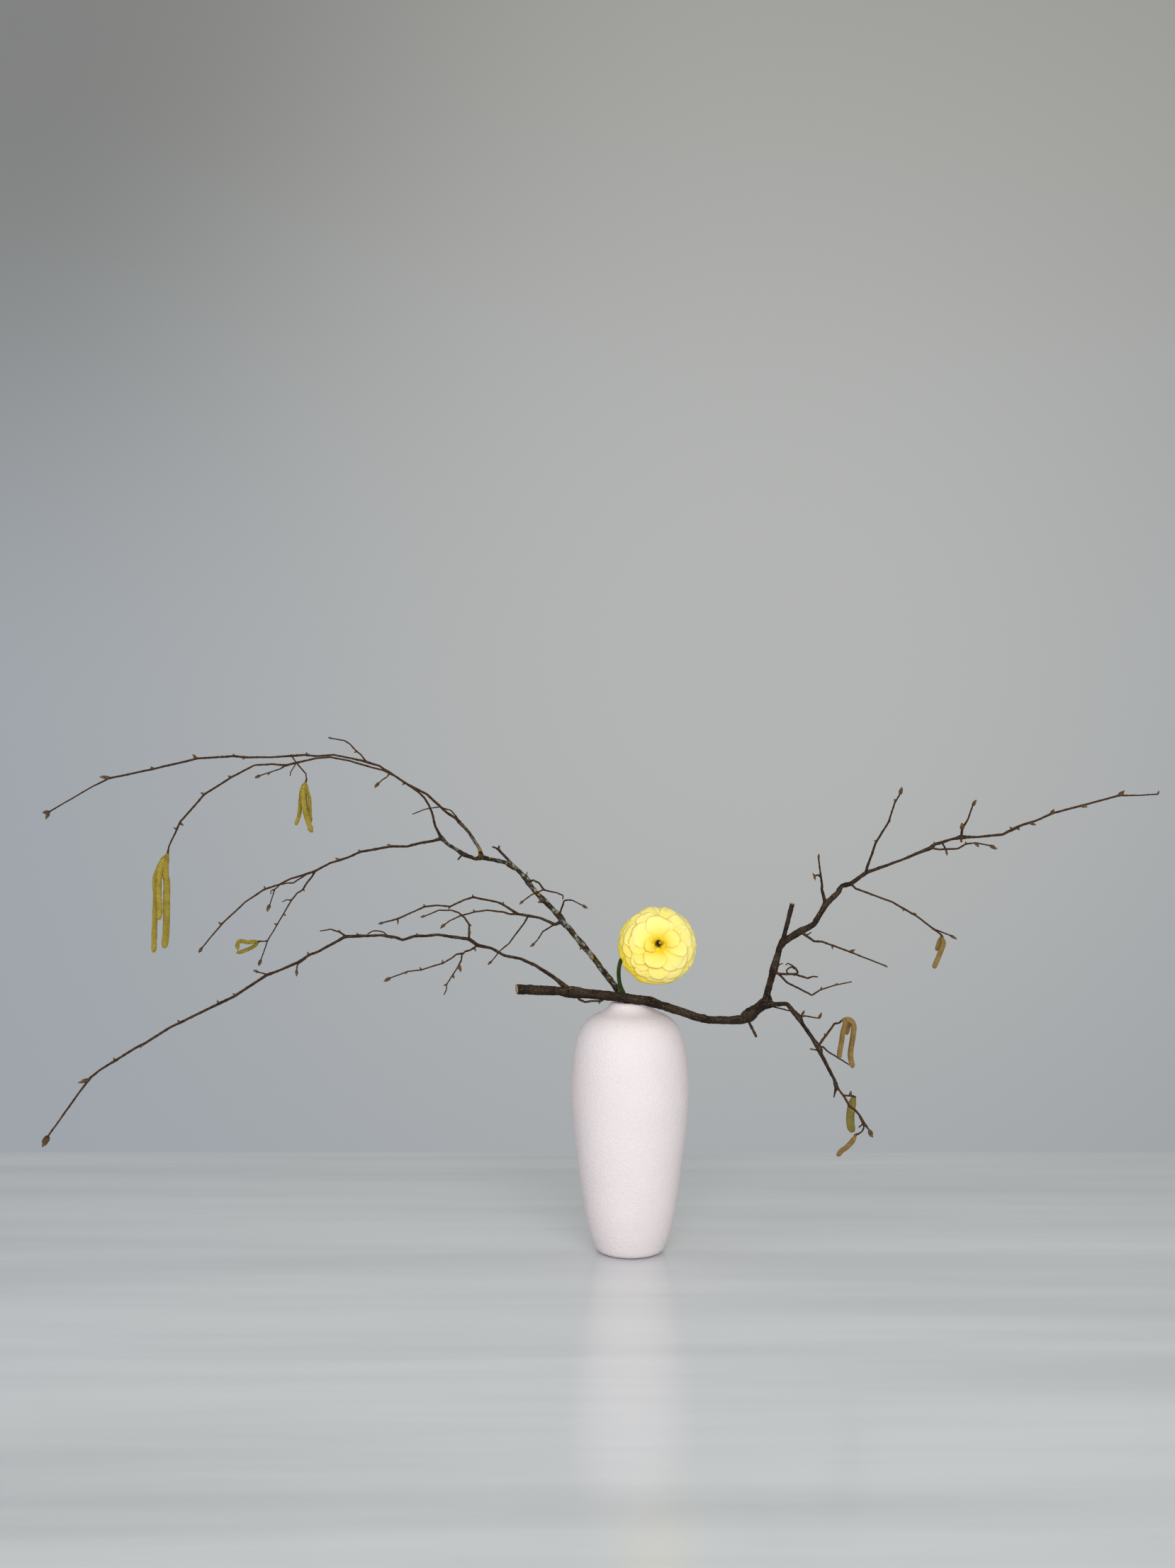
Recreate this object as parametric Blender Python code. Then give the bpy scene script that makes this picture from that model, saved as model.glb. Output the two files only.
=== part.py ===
"""Ikebana arrangement: catkin branches and one double yellow bloom in a round-shouldered ceramic vase.

Lengths below are in millimetres: x to the right, y away from the viewer, z up, with the origin at
the centre of the vase's foot.  Every solid is built at its place and turned into metres at the end.
"""
import math
import random

import bmesh
import bpy
from mathutils import Vector

MM = 0.001                  # one millimetre in metres
SEAT_GAP = 0.3              # gap kept between pieces that touch
SEED = 7                    # for the small differences between petals

# Vase: a thrown body with a wide shoulder and a narrow mouth.
VASE_SIDES = 28
VASE_FLOOR = 8.0
VASE_OUTSIDE = [            # (radius, height) up the outside, from the flat foot to the lip
    (25.5, 0.0), (28.0, 1.2), (32.0, 9.0), (37.8, 30.0), (41.7, 54.0), (45.0, 78.0), (48.3, 106.0),
    (50.0, 132.0), (49.0, 156.0), (46.0, 176.0), (42.4, 186.0), (38.0, 192.6), (32.0, 197.6),
    (21.4, 203.0), (18.4, 205.7), (16.4, 208.8), (14.6, 210.1),
]
MOUTH_RADIUS = 12.5
VASE_INSIDE = [             # (radius, height) down the inside, from the lip to the floor
    (13.0, 209.6), (MOUTH_RADIUS, 208.0), (MOUTH_RADIUS, 202.5), (17.0, 198.0), (30.0, 192.0),
    (40.5, 176.0), (45.0, 134.0), (43.2, 103.0), (37.0, 55.0), (30.0, 18.0), (21.0, VASE_FLOOR),
]
WATER_LEVEL = 150.0
WATER_TOP_RADIUS = 42.8
WATER_CLEARANCE = 0.45      # radial gap between the water and the vase's faceted wall
STEM_HOLE_PLAY = 0.5        # radial room of a stem in the water

# Bloom: petals lie like tiles over a domed core that faces the viewer and tips up a little.
BLOOM_CENTRE = (22.2, -20.0, 259.0)
BLOOM_AXIS = (0.015, -0.978, 0.208)
BLOOM_DEPTH = 0.86          # the dome's depth along its axis, as a share of its radius
CORE_RADIUS = 22.0
CORE_ANGLES = (20, 45, 70, 95, 122, 152)    # angles from the axis of the core's rings
CORE_BACK = 16.0            # the core's flat back, behind its centre
EYE_RADIUS = 3.6
EYE_FLOOR = 17.0            # the eye's flat floor, in front of the core's centre
PETAL_THICKNESS = 0.9
PETAL_ROOT = 20.0           # distance of a petal's root from the bloom's centre, inside the core
PETAL_SHAPE = [(0.0, 0.55), (0.42, 0.98), (0.78, 0.9), (1.0, 0.42)]     # (share of length, of width)
PETAL_COLUMNS = (-1.0, -0.36, 0.36, 1.0)
# rows of petals: count, angle from the axis at root and tip, distance at the tip, half width, turn
PETAL_ROWS = [
    (6, 8, 33, 28.5, 8.2, 10),
    (6, 20, 54, 30.8, 11.0, 38),
    (7, 38, 76, 32.0, 12.5, 5),
    (8, 56, 97, 32.4, 12.5, 24),
    (5, 84, 120, 31.0, 13.5, 0),
]
CENTRE_SHAPE = [(2.8, 0.0), (2.94, 2.0), (1.68, 4.6)]    # (radius, height) of the eye's cone
CENTRE_TIP = 5.4
STAMEN_COUNT = 6
STAMEN = [(1.2, 2.0, 0.5), (2.6, 5.0, 0.4), (4.2, 6.6, 0.7)]    # (distance out, height, radius)
SEPAL_COUNT = 5
SEPAL_TURN = 18.0           # turn of the first sepal
SEPAL_HUB = 1.6             # depth of the sepals' roots below the stem's head
SEPAL_THICKNESS = 0.8
SEPAL_CUP = 0.5             # how far a sepal's edges stand in front of its middle
SEPAL_SHAPE = [(1.5, 1.6, 0.0), (7.5, 3.4, 0.6), (13.5, 2.4, 0.8), (17.0, 0.5, 0.2)]  # reach, width, sag

# The flower's stem, from behind the bloom down through the mouth to the floor of the vase.
FLOWER_STEM_RADIUS = 1.75
STEM_HEAD = [(0.0, 4.6), (1.8, 4.8), (3.6, 2.6), (5.0, FLOWER_STEM_RADIUS)]  # (depth, radius)
FLOWER_STEM = [
    (19, 7, 253), (10, 12, 252), (0, 12, 250), (-6.5, 9, 245.5), (-9, 6.5, 239), (-9.5, 5, 232),
    (-8.5, 3, 224), (-6, 1.5, 218), (-3.5, 0.2, 213), (-2.5, 0, 206), (-4, 0.5, 190), (-15, 7, 8.5),
]
# The upright branch's cut foot, from the mouth's back edge down to the floor of the vase.
HIGH_FOOT_RADIUS = 2.3
HIGH_FOOT = [(-9.5, 6.5, 219.5), (-5.2, 8.1, 214), (-2.2, 7.3, 208), (4, 5, 199), (15, -11.5, 8.6)]


def growth(name, radii, points, buds=()):
    """One stem or twig: a fourth number in a point is its radius, otherwise it tapers as radii says.

    A bud is (share of the length, angle in the front view, length) and may end with its radius."""
    spots = [Vector(point[:3]) for point in points]
    if radii is None:
        sizes = [point[3] for point in points]
    else:
        last = len(points) - 1
        sizes = [radii[0] + (radii[1] - radii[0]) * i / last for i in range(last + 1)]
    return {"name": name, "points": spots, "radii": sizes, "buds": list(buds)}


LOW_GROWTHS = [
    growth("low_trunk", None, [
        (-96.5, 14, 218.5, 4.1), (-81.5, 8, 218.5, 4.1), (-59.5, 2, 218.5, 3.6), (-35.5, -3.5, 217, 3.9),
        (-14, -9.5, 215.5, 3.9), (1.5, -14.5, 214.15, 3.7), (16, -18.5, 212.5, 3.7),
        (25.5, -21, 209.5, 3.4), (41, -23, 205, 3.3), (54.5, -25, 200.5, 3.3), (64.5, -27.5, 198.5, 3.2),
        (82, -30, 198.5, 3.2), (91.5, -32, 199.5, 3.5), (97, -33, 203, 4.3), (103.5, -34, 208.5, 3.7),
        (109, -35, 212.5, 3.5), (113, -36, 215.5, 3.4),
    ], buds=[(0.53, 85, 4.5)]),
    growth("crown", None, [
        (112, -36, 215, 3.2), (112, -35, 221, 2.6), (123, -31, 259, 2.5), (126, -31, 264, 2.8),
        (130, -30, 266, 2.8), (140, -29, 272, 2.5), (149, -27, 276, 2.4), (152, -27, 278, 2.3),
        (162, -24, 294, 2.1), (172, -22, 303, 2.2), (176, -21, 309, 1.8), (184, -19, 311, 1.6),
        (197, -17, 320, 1.4), (227, -11, 330, 1), (253, -5, 340, 1.4), (257, -4, 343, 1.1),
        (271, -1, 347, 1), (280, 1, 349, 1.3), (295, 4, 349, 0.95), (318, 10, 351, 1.1),
        (336, 14, 359, 1), (347, 17, 362, 0.9), (365, 22, 369, 0.9), (428, 40, 384, 0.8),
        (446, 45, 384, 0.6), (465, 50, 385, 0.55),
    ], buds=[
        (0.49, 115, 3), (0.55, 115, 3.5), (0.66, 140, 4), (0.67, -40, 4), (0.7, -25, 5.5), (0.75, 50, 6),
        (0.82, -10, 6), (0.91, 35, 7.5), (1, 75, 3.5),
    ]),
    growth("crown_stub", (1.7, 1.9), [
        (125.5, -30.5, 264), (132, -41, 296),
    ]),
    growth("crown_up_1", (1.5, 0.6), [
        (162, -24, 294), (160, -26, 301), (158, -29, 307), (158, -30, 311), (157, -32, 316),
        (154, -38, 333),
    ], buds=[(1, 90, 4)]),
    growth("crown_up_1b", (0.8, 0.7), [
        (156.5, -32.5, 317.5), (154, -34, 319), (151, -35, 318),
    ], buds=[(0.94, 130, 3.5), (1, -75, 4)]),
    growth("crown_up_2", (1.2, 0.55), [
        (197, -16.5, 319.5), (197, -20, 324), (199, -24, 332), (202, -34, 346), (210, -46, 363),
        (213, -57, 379), (216, -63, 386),
    ], buds=[(0.39, 145, 2.5), (0.65, 35, 2.5), (0.89, 105, 3.5), (1, 70, 6.5)]),
    growth("crown_up_3", (1.1, 0.6), [
        (280.5, 1, 349), (281, -1, 356), (285, -4, 364), (288, -9, 376),
    ], buds=[(0.23, 95, 6, 1.9), (1, 55, 6.5)]),
    growth("crown_low_twig", (0.9, 0.55), [
        (252.5, -5.5, 340), (260, -9, 339), (274, -15, 340), (280, -19, 344), (287, -22, 345),
        (298, -27, 343),
    ], buds=[(0.61, 105, 2.5), (0.76, -45, 5.5), (1, -30, 6.5)]),
    growth("crown_cross", (0.8, 0.7), [
        (263.5, -3, 345), (263, -21, 338),
    ], buds=[(1, -85, 4)]),
    growth("crown_down_spur", (0.9, 0.8), [
        (280.5, 1, 349), (280, -2, 345),
    ]),
    growth("right_upper", (0.9, 0.7), [
        (183.5, -19.5, 311), (187, -24, 307), (190, -27, 306), (212, -50, 298), (228, -70, 288),
        (242, -89, 276),
    ], buds=[(0.58, -95, 2.5), (0.68, -10, 4.5)]),
    growth("right_upper_tip", (0.65, 0.5), [
        (238.5, -84, 279), (254, -74, 273),
    ], buds=[(1, -30, 6.5, 1.2)]),
    growth("right_inner", (1, 0.55), [
        (140, -28.5, 272), (150, -40, 265), (156, -45, 265), (169, -59, 261), (178, -69, 258),
        (198, -90, 251),
    ], buds=[(0.4, -90, 3.5), (0.61, 20, 5.5), (1, -25, 3.5)]),
    growth("inner_spur", (0.7, 0.4), [
        (143.5, -32.5, 269.5), (146, -34, 270), (148, -37, 272),
    ]),
    growth("curl_a", (1.1, 0.5), [
        (117.5, -33.5, 239.5), (121, -38, 238), (133, -49, 239), (142, -59, 237), (146, -64, 239),
        (149, -67, 239),
    ]),
    growth("curl_a_loop", (0.8, 0.6), [
        (132.5, -49, 238.5), (135, -53, 241), (133, -56, 244), (129, -58, 246), (127, -58, 245),
        (125, -58, 243), (127, -57, 240),
    ]),
    growth("curl_a_hook", (0.6, 0.45), [
        (133, -56, 244.5), (130, -58, 247), (126, -60, 249), (124, -62, 248),
    ]),
    growth("curl_arc", (0.6, 0.4), [
        (119, -33, 244.5), (122, -30, 244), (124, -29, 245), (126, -27, 245),
    ]),
    growth("curl_b", (0.9, 0.5), [
        (120.5, -37, 238.5), (129, -32, 230), (142, -25, 223), (151, -20, 218), (159, -16, 222),
        (172, -10, 225), (187, -3, 227),
    ], buds=[(0.62, 75, 3), (0.8, 35, 3)]),
    growth("right_low", None, [
        (110.5, -35.5, 213.5, 3.2), (117, -39, 213, 1.7), (127, -45, 214, 1.75), (136, -52, 204, 1.8),
        (138, -55, 200, 1.5), (150, -67, 182, 1.6), (151, -70, 178, 1.5), (160, -83, 159, 1.2),
        (161, -86, 154, 1.5), (163, -88, 152, 0.65), (166, -90, 148, 0.7), (170, -96, 141, 1),
        (173, -98, 139, 0.9), (176, -101, 136, 0.85), (179, -105, 130, 0.9), (183, -109, 125, 0.55),
    ], buds=[(1, -70, 6, 2)]),
    growth("right_low_companion", (0.7, 0.5), [
        (115, -38, 213.5), (118, -33, 210), (125, -30, 208), (129, -32, 207), (133, -37, 207),
    ]),
    growth("right_low_stub", (1.2, 0.5), [
        (161, -85.5, 155), (160, -80, 145),
    ]),
    growth("right_low_bud_twig", (0.8, 0.5), [
        (136, -52, 204.5), (140, -56, 206), (150, -68, 206),
    ], buds=[(1, 70, 5.5, 1.2)]),
    growth("right_low_bud_twig_b", (0.7, 0.6), [
        (136, -52, 204), (139, -49, 206),
    ], buds=[(1, 65, 4.5)]),
    growth("right_mid", (1, 0.75), [
        (149, -67, 183), (166, -45, 198), (170, -41, 198),
    ], buds=[(0.38, 110, 3)]),
    growth("right_mid_spur", (0.7, 0.5), [
        (149.5, -68, 181.5), (147, -71, 181), (144, -74, 182),
    ], buds=[(1, 170, 3)]),
    growth("right_mid_low", (0.8, 0.6), [
        (149.5, -67.5, 182), (154, -62, 182), (159, -54, 177), (181, -24, 161),
    ]),
    growth("right_bottom", (0.7, 0.7), [
        (166, -90.5, 148.5), (173, -85, 147),
    ], buds=[(0.82, 80, 4.5)]),
    growth("right_tail", (0.6, 0.6), [
        (179, -105, 130), (180, -101, 125), (179, -99, 122), (177, -97, 120),
    ]),
    growth("right_tail_spur", (0.6, 0.6), [
        (179, -105, 130), (176, -108, 128),
    ], buds=[(1, -150, 2)]),
    growth("low_stub", (1.2, 1), [
        (96, -33, 202.5), (98, -34, 196), (103, -36, 186),
    ]),
    growth("low_stub_dark", (2.2, 1.8), [
        (100, -33.5, 206), (104, -35, 203),
    ]),
    growth("low_twiglet", (1, 0.8), [
        (-46, -1, 217.5), (-43, -2, 212), (-38, -4, 210), (-32, -5, 211), (-26, -6, 211), (-23, -7, 212),
    ], buds=[(0.89, -100, 3)]),
    growth("shoot", None, [
        (-51.5, 0.5, 218, 3), (-53, 0, 221, 2.2), (-64, 0, 230, 1.6), (-79, -1, 240, 1.35),
        (-92, -1, 246, 1.2), (-106, -2, 249, 1.15), (-117, -2, 255, 1.2), (-129, -3, 258, 1.3),
        (-136, -4, 263, 1.3), (-162, -6, 267, 1.1), (-172, -6, 266, 1.1), (-181, -7, 266, 1.1),
        (-192, -8, 263, 1.1), (-197, -9, 265, 1.1), (-210, -10, 267, 1.05), (-239, -13, 266, 1.2),
        (-261, -16, 254, 1), (-269, -17, 251, 1), (-276, -19, 246, 1.15), (-292, -21, 239, 1),
        (-303, -23, 235, 1.1), (-329, -28, 218, 1.05), (-379, -38, 194, 0.95), (-398, -43, 182, 0.95),
        (-406, -45, 178, 0.95), (-433, -53, 161, 0.85), (-439, -55, 156, 0.95), (-447, -58, 145, 0.8),
        (-469, -70, 111, 0.7),
    ], buds=[
        (0.29, 70, 3), (0.39, 120, 3.5), (0.48, 120, 3.5), (0.62, 140, 3), (0.65, 110, 4),
        (0.72, 140, 3.5), (0.79, -115, 3.5), (0.84, 120, 3.5), (0.89, -165, 9.5, 1.9),
        (1, -120, 10, 2.7),
    ]),
    growth("shoot_a", (0.8, 0.75), [
        (-129, -3, 257.5), (-135, -6, 254), (-139, -8, 253), (-141, -9, 251),
    ], buds=[(0.23, -60, 4)]),
    growth("shoot_a1", (0.75, 0.5), [
        (-141.5, -9, 251.5), (-146, -10, 251), (-150, -12, 248), (-157, -14, 244), (-175, -20, 239),
        (-186, -23, 238), (-200, -27, 233),
    ], buds=[(0.29, 85, 3.5), (0.58, 120, 3), (0.76, -135, 3), (1, -150, 6)]),
    growth("shoot_a2", (0.7, 0.45), [
        (-141.5, -9, 251.5), (-142, -10, 246), (-144, -11, 242), (-147, -12, 237), (-149, -13, 234),
        (-154, -15, 226), (-154, -16, 222), (-156, -17, 218),
    ], buds=[(0.27, -70, 6), (0.52, -70, 4), (0.76, -160, 3.5)]),
    growth("shoot_b", (0.9, 0.55), [
        (-136, -3.5, 262.5), (-136, -2, 275), (-140, -1, 281), (-145, 0, 285), (-151, 1, 287),
        (-162, 2, 287), (-174, 4, 282),
    ], buds=[(0.1, 35, 2.5), (0.23, -30, 3), (1, -165, 4.5)]),
    growth("shoot_c", (0.8, 0.5), [
        (-238.5, -13, 266.5), (-243, -16, 270), (-250, -21, 273), (-258, -25, 272),
    ], buds=[(0.25, 120, 3)]),
    growth("shoot_loop", (0.6, 0.5), [
        (-203.5, -9.5, 266), (-208, -5, 269), (-213, -3, 270), (-217, -4, 270), (-221, -7, 268),
    ]),
    growth("shoot_d", (0.7, 0.55), [
        (-276, -18.5, 246), (-278, -20, 243), (-278, -23, 239),
    ], buds=[(1, -85, 5)]),
    growth("shoot_e", (0.7, 0.55), [
        (-302.5, -22.5, 235.5), (-311, -18, 237),
    ], buds=[(1, 155, 5)]),
]

HIGH_GROWTHS = [
    growth("high_trunk", None, [
        (-6.5, 7.8, 215.7, 2.4), (-10, 7, 219, 2.5), (-15, 8, 225, 2.5), (-19, 10, 230, 2.5),
        (-24, 11, 236, 2.4), (-29, 13, 243, 2.35), (-34, 14, 249, 2.3), (-40, 16, 256, 2.4),
        (-46, 17, 263, 2.3), (-51, 19, 269, 2.3), (-56, 20, 274, 2.3), (-60, 22, 280, 2.4),
        (-66, 24, 286, 2.1), (-73, 25, 293, 2.15), (-80, 26, 300, 2), (-85, 28, 306, 2),
        (-89, 30, 312, 2.1), (-93, 31, 316, 1.8), (-97, 32, 320, 1.8), (-102, 34, 323, 2.1),
        (-108, 35, 326, 1.7), (-118, 37, 328, 1.65), (-128, 38, 330, 1.9), (-134, 39, 329, 1.6),
        (-140, 41, 331, 1.6), (-145, 42, 333, 1.7), (-151, 43, 337, 1.5), (-158, 45, 341, 1.4),
        (-165, 46, 348, 1.5),
    ], buds=[(0.25, -105, 5.5), (0.48, -160, 6.5)]),
    growth("arch", None, [
        (-128.5, 38, 330, 1.9), (-130, 40, 337, 1.5), (-140, 45, 352, 1.35), (-152, 50, 364, 1.2),
        (-160, 52, 369, 1.1), (-178, 57, 385, 1), (-196, 62, 394, 0.95), (-221, 67, 410, 0.9),
        (-234, 69, 414, 1), (-247, 71, 417, 0.85), (-263, 73, 420, 0.85), (-279, 75, 419, 0.85),
        (-289, 76, 420, 1), (-321, 79, 418, 0.85), (-343, 80, 418, 0.95), (-354, 80, 419, 0.95),
        (-386, 81, 417, 0.9), (-424, 81, 408, 0.9), (-465, 78, 399, 0.85), (-479, 77, 392, 0.65),
        (-517, 72, 369, 0.6),
    ], buds=[
        (0.23, -145, 3.5), (0.45, 100, 3), (0.58, -125, 3), (0.6, 135, 3.5), (0.68, 125, 5.5),
        (0.77, 150, 4.5), (0.86, 170, 9, 1.7), (1, -175, 7), (1, -105, 7),
    ]),
    growth("arch_top_twig", (0.75, 0.55), [
        (-233.5, 69, 414.5), (-238, 71, 420), (-242, 73, 423), (-249, 76, 430), (-254, 77, 433),
        (-260, 79, 434), (-266, 81, 435),
    ], buds=[(0.31, -155, 3), (1, 165, 4)]),
    growth("arch_bud_twig", (0.65, 0.5), [
        (-211, 65, 404), (-214, 61, 400), (-217, 58, 398), (-220, 55, 395),
    ], buds=[(1, -130, 6)]),
    growth("arch_cross", (0.65, 0.45), [
        (-147.5, 48, 360), (-151, 43, 366), (-155, 38, 371), (-164, 32, 374), (-172, 29, 373),
        (-177, 27, 372), (-187, 26, 368),
    ]),
    growth("second", None, [
        (-164.5, 46, 347.5, 1.3), (-169, 43, 357, 1.05), (-172, 40, 370, 0.95), (-174, 39, 375, 0.9),
        (-178, 37, 382, 0.9), (-183, 35, 387, 0.85), (-190, 33, 392, 0.85), (-203, 30, 401, 0.85),
        (-213, 27, 406, 0.8), (-221, 26, 408, 0.8), (-241, 22, 414, 0.8), (-257, 19, 417, 0.8),
        (-269, 17, 416, 0.8), (-294, 14, 410, 0.95), (-306, 12, 411, 0.8), (-320, 10, 410, 0.75),
        (-339, 8, 400, 0.85), (-362, 6, 385, 0.85), (-382, 5, 362, 0.85), (-391, 4, 342, 0.65),
    ], buds=[(0.57, -110, 3), (0.73, 160, 4), (0.82, 160, 4), (0.93, -35, 4), (0.95, 145, 3.5)]),
    growth("second_twiglet", (0.5, 0.4), [
        (-285, 15, 412.5), (-289, 9, 404), (-289, 7, 401),
    ]),
    growth("second_bud_twig", (0.65, 0.5), [
        (-294, 13.5, 410), (-298, 10, 407), (-313, -2, 401),
    ], buds=[(0.63, -125, 3), (1, -160, 5.5)]),
    growth("third", None, [
        (-163, 45.5, 346.5, 1.4), (-172, 48, 344, 1.2), (-184, 51, 342, 1.1), (-195, 54, 339, 1.05),
        (-209, 56, 339, 1.1), (-237, 60, 334, 1), (-248, 60, 329, 0.95), (-264, 60, 324, 0.9),
        (-277, 60, 317, 0.9), (-299, 58, 310, 0.8), (-309, 56, 305, 0.75), (-321, 54, 301, 0.85),
        (-337, 49, 290, 0.7), (-355, 41, 272, 0.75), (-370, 30, 252, 0.55),
    ], buds=[
        (0.2, 150, 4.5), (0.32, 120, 3), (0.4, 155, 4.5), (0.69, 110, 3.5), (0.89, 140, 4), (1, -125, 6),
    ]),
    growth("third_b2", (0.7, 0.5), [
        (-282.5, 59.5, 315.5), (-295, 51, 307), (-300, 48, 307), (-305, 44, 306), (-309, 41, 302),
        (-312, 34, 289),
    ], buds=[(1, -110, 7)]),
    growth("third_b2_spur", (0.55, 0.4), [
        (-309, 41, 302), (-312, 40, 301), (-312, 39, 298),
    ]),
    growth("third_b3", (0.85, 0.5), [
        (-277, 60, 317), (-280, 61, 312), (-285, 62, 306), (-289, 64, 300), (-294, 65, 297),
        (-299, 66, 291), (-307, 69, 278), (-322, 74, 254), (-329, 78, 236),
    ], buds=[(0.21, -30, 3), (0.51, -35, 3), (0.63, 140, 3.5), (1, -115, 6.5)]),
    growth("third_b3_spur", (0.55, 0.4), [
        (-299, 66, 291), (-304, 68, 291), (-308, 70, 289),
    ]),
    growth("curl_stalk", (0.6, 0.6), [
        (-322, 74, 254), (-324.5, 73.2, 253.5), (-327, 72.2, 253.6),
    ]),
    growth("fourth", None, [
        (-57.5, 21, 276, 1.6), (-64, 24, 273, 1.2), (-77, 30, 278, 1.05), (-97, 37, 281, 1.1),
        (-110, 40, 289, 0.9), (-115, 41, 291, 0.85), (-136, 43, 295, 0.85), (-143, 43, 293, 0.8),
        (-156, 43, 287, 0.75), (-168, 42, 288, 0.75), (-178, 40, 287, 0.8), (-185, 38, 284, 0.7),
        (-201, 33, 277, 0.8), (-213, 29, 274, 0.55),
    ], buds=[
        (0.35, 90, 3), (0.51, 110, 3), (0.64, -120, 3), (0.77, 115, 3), (0.92, -90, 5.5, 0.8),
        (1, -165, 5),
    ]),
    growth("fourth_low", (0.9, 0.55), [
        (-97.5, 36.5, 281), (-103, 34, 281), (-109, 32, 283), (-123, 26, 285), (-133, 22, 284),
        (-145, 17, 281), (-154, 13, 277), (-158, 11, 274),
    ], buds=[(0.57, 120, 3), (1, -140, 5.5)]),
    growth("fourth_down", (0.8, 0.5), [
        (-87.5, 34, 279.5), (-91, 38, 273), (-100, 45, 261), (-105, 49, 254), (-113, 54, 247),
        (-121, 60, 237),
    ], buds=[(1, -140, 4.5)]),
    growth("fourth_inner", (0.75, 0.5), [
        (-64.5, 24.5, 273), (-74, 13, 268), (-79, 4, 261), (-81, 1, 259),
    ], buds=[(1, -140, 5)]),
    growth("high_right_a", (0.9, 0.55), [
        (-87, 29, 309.5), (-83, 26, 311), (-78, 23, 309), (-73, 19, 303), (-62, 12, 301), (-57, 9, 299),
        (-57, 7, 296),
    ]),
    growth("high_right_b", (0.8, 0.5), [
        (-60.5, 22, 280.5), (-56, 13, 294), (-53, 11, 295), (-49, 8, 295), (-40, 2, 291),
    ], buds=[(1, -30, 5)]),
    growth("high_right_c", (0.7, 0.5), [
        (-73.5, 19, 303.5), (-84, 16, 299), (-91, 13, 294),
    ], buds=[(1, -140, 5)]),
    growth("dead_stub", (1.3, 0.8), [
        (-101.5, 34, 323.5), (-105, 37, 328), (-112, 41, 335), (-114, 43, 337), (-113, 44, 340),
    ]),
    growth("dead_stub_b", (0.9, 0.8), [
        (-112.5, 42, 336), (-116, 43, 338), (-119, 44, 339),
    ]),
    growth("stub_below", (0.9, 0.7), [
        (-145, 42, 333), (-149, 40, 328),
    ]),
    growth("thorn_up", (0.7, 0.3), [
        (-89.5, 29.5, 312.5), (-88, 28, 318),
    ]),
    growth("top_catkin_stalk", (0.7, 0.6), [
        (-301.5, 77, 420), (-296, 72, 413), (-286, 64, 403), (-285, 61, 399),
    ]),
]

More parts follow.
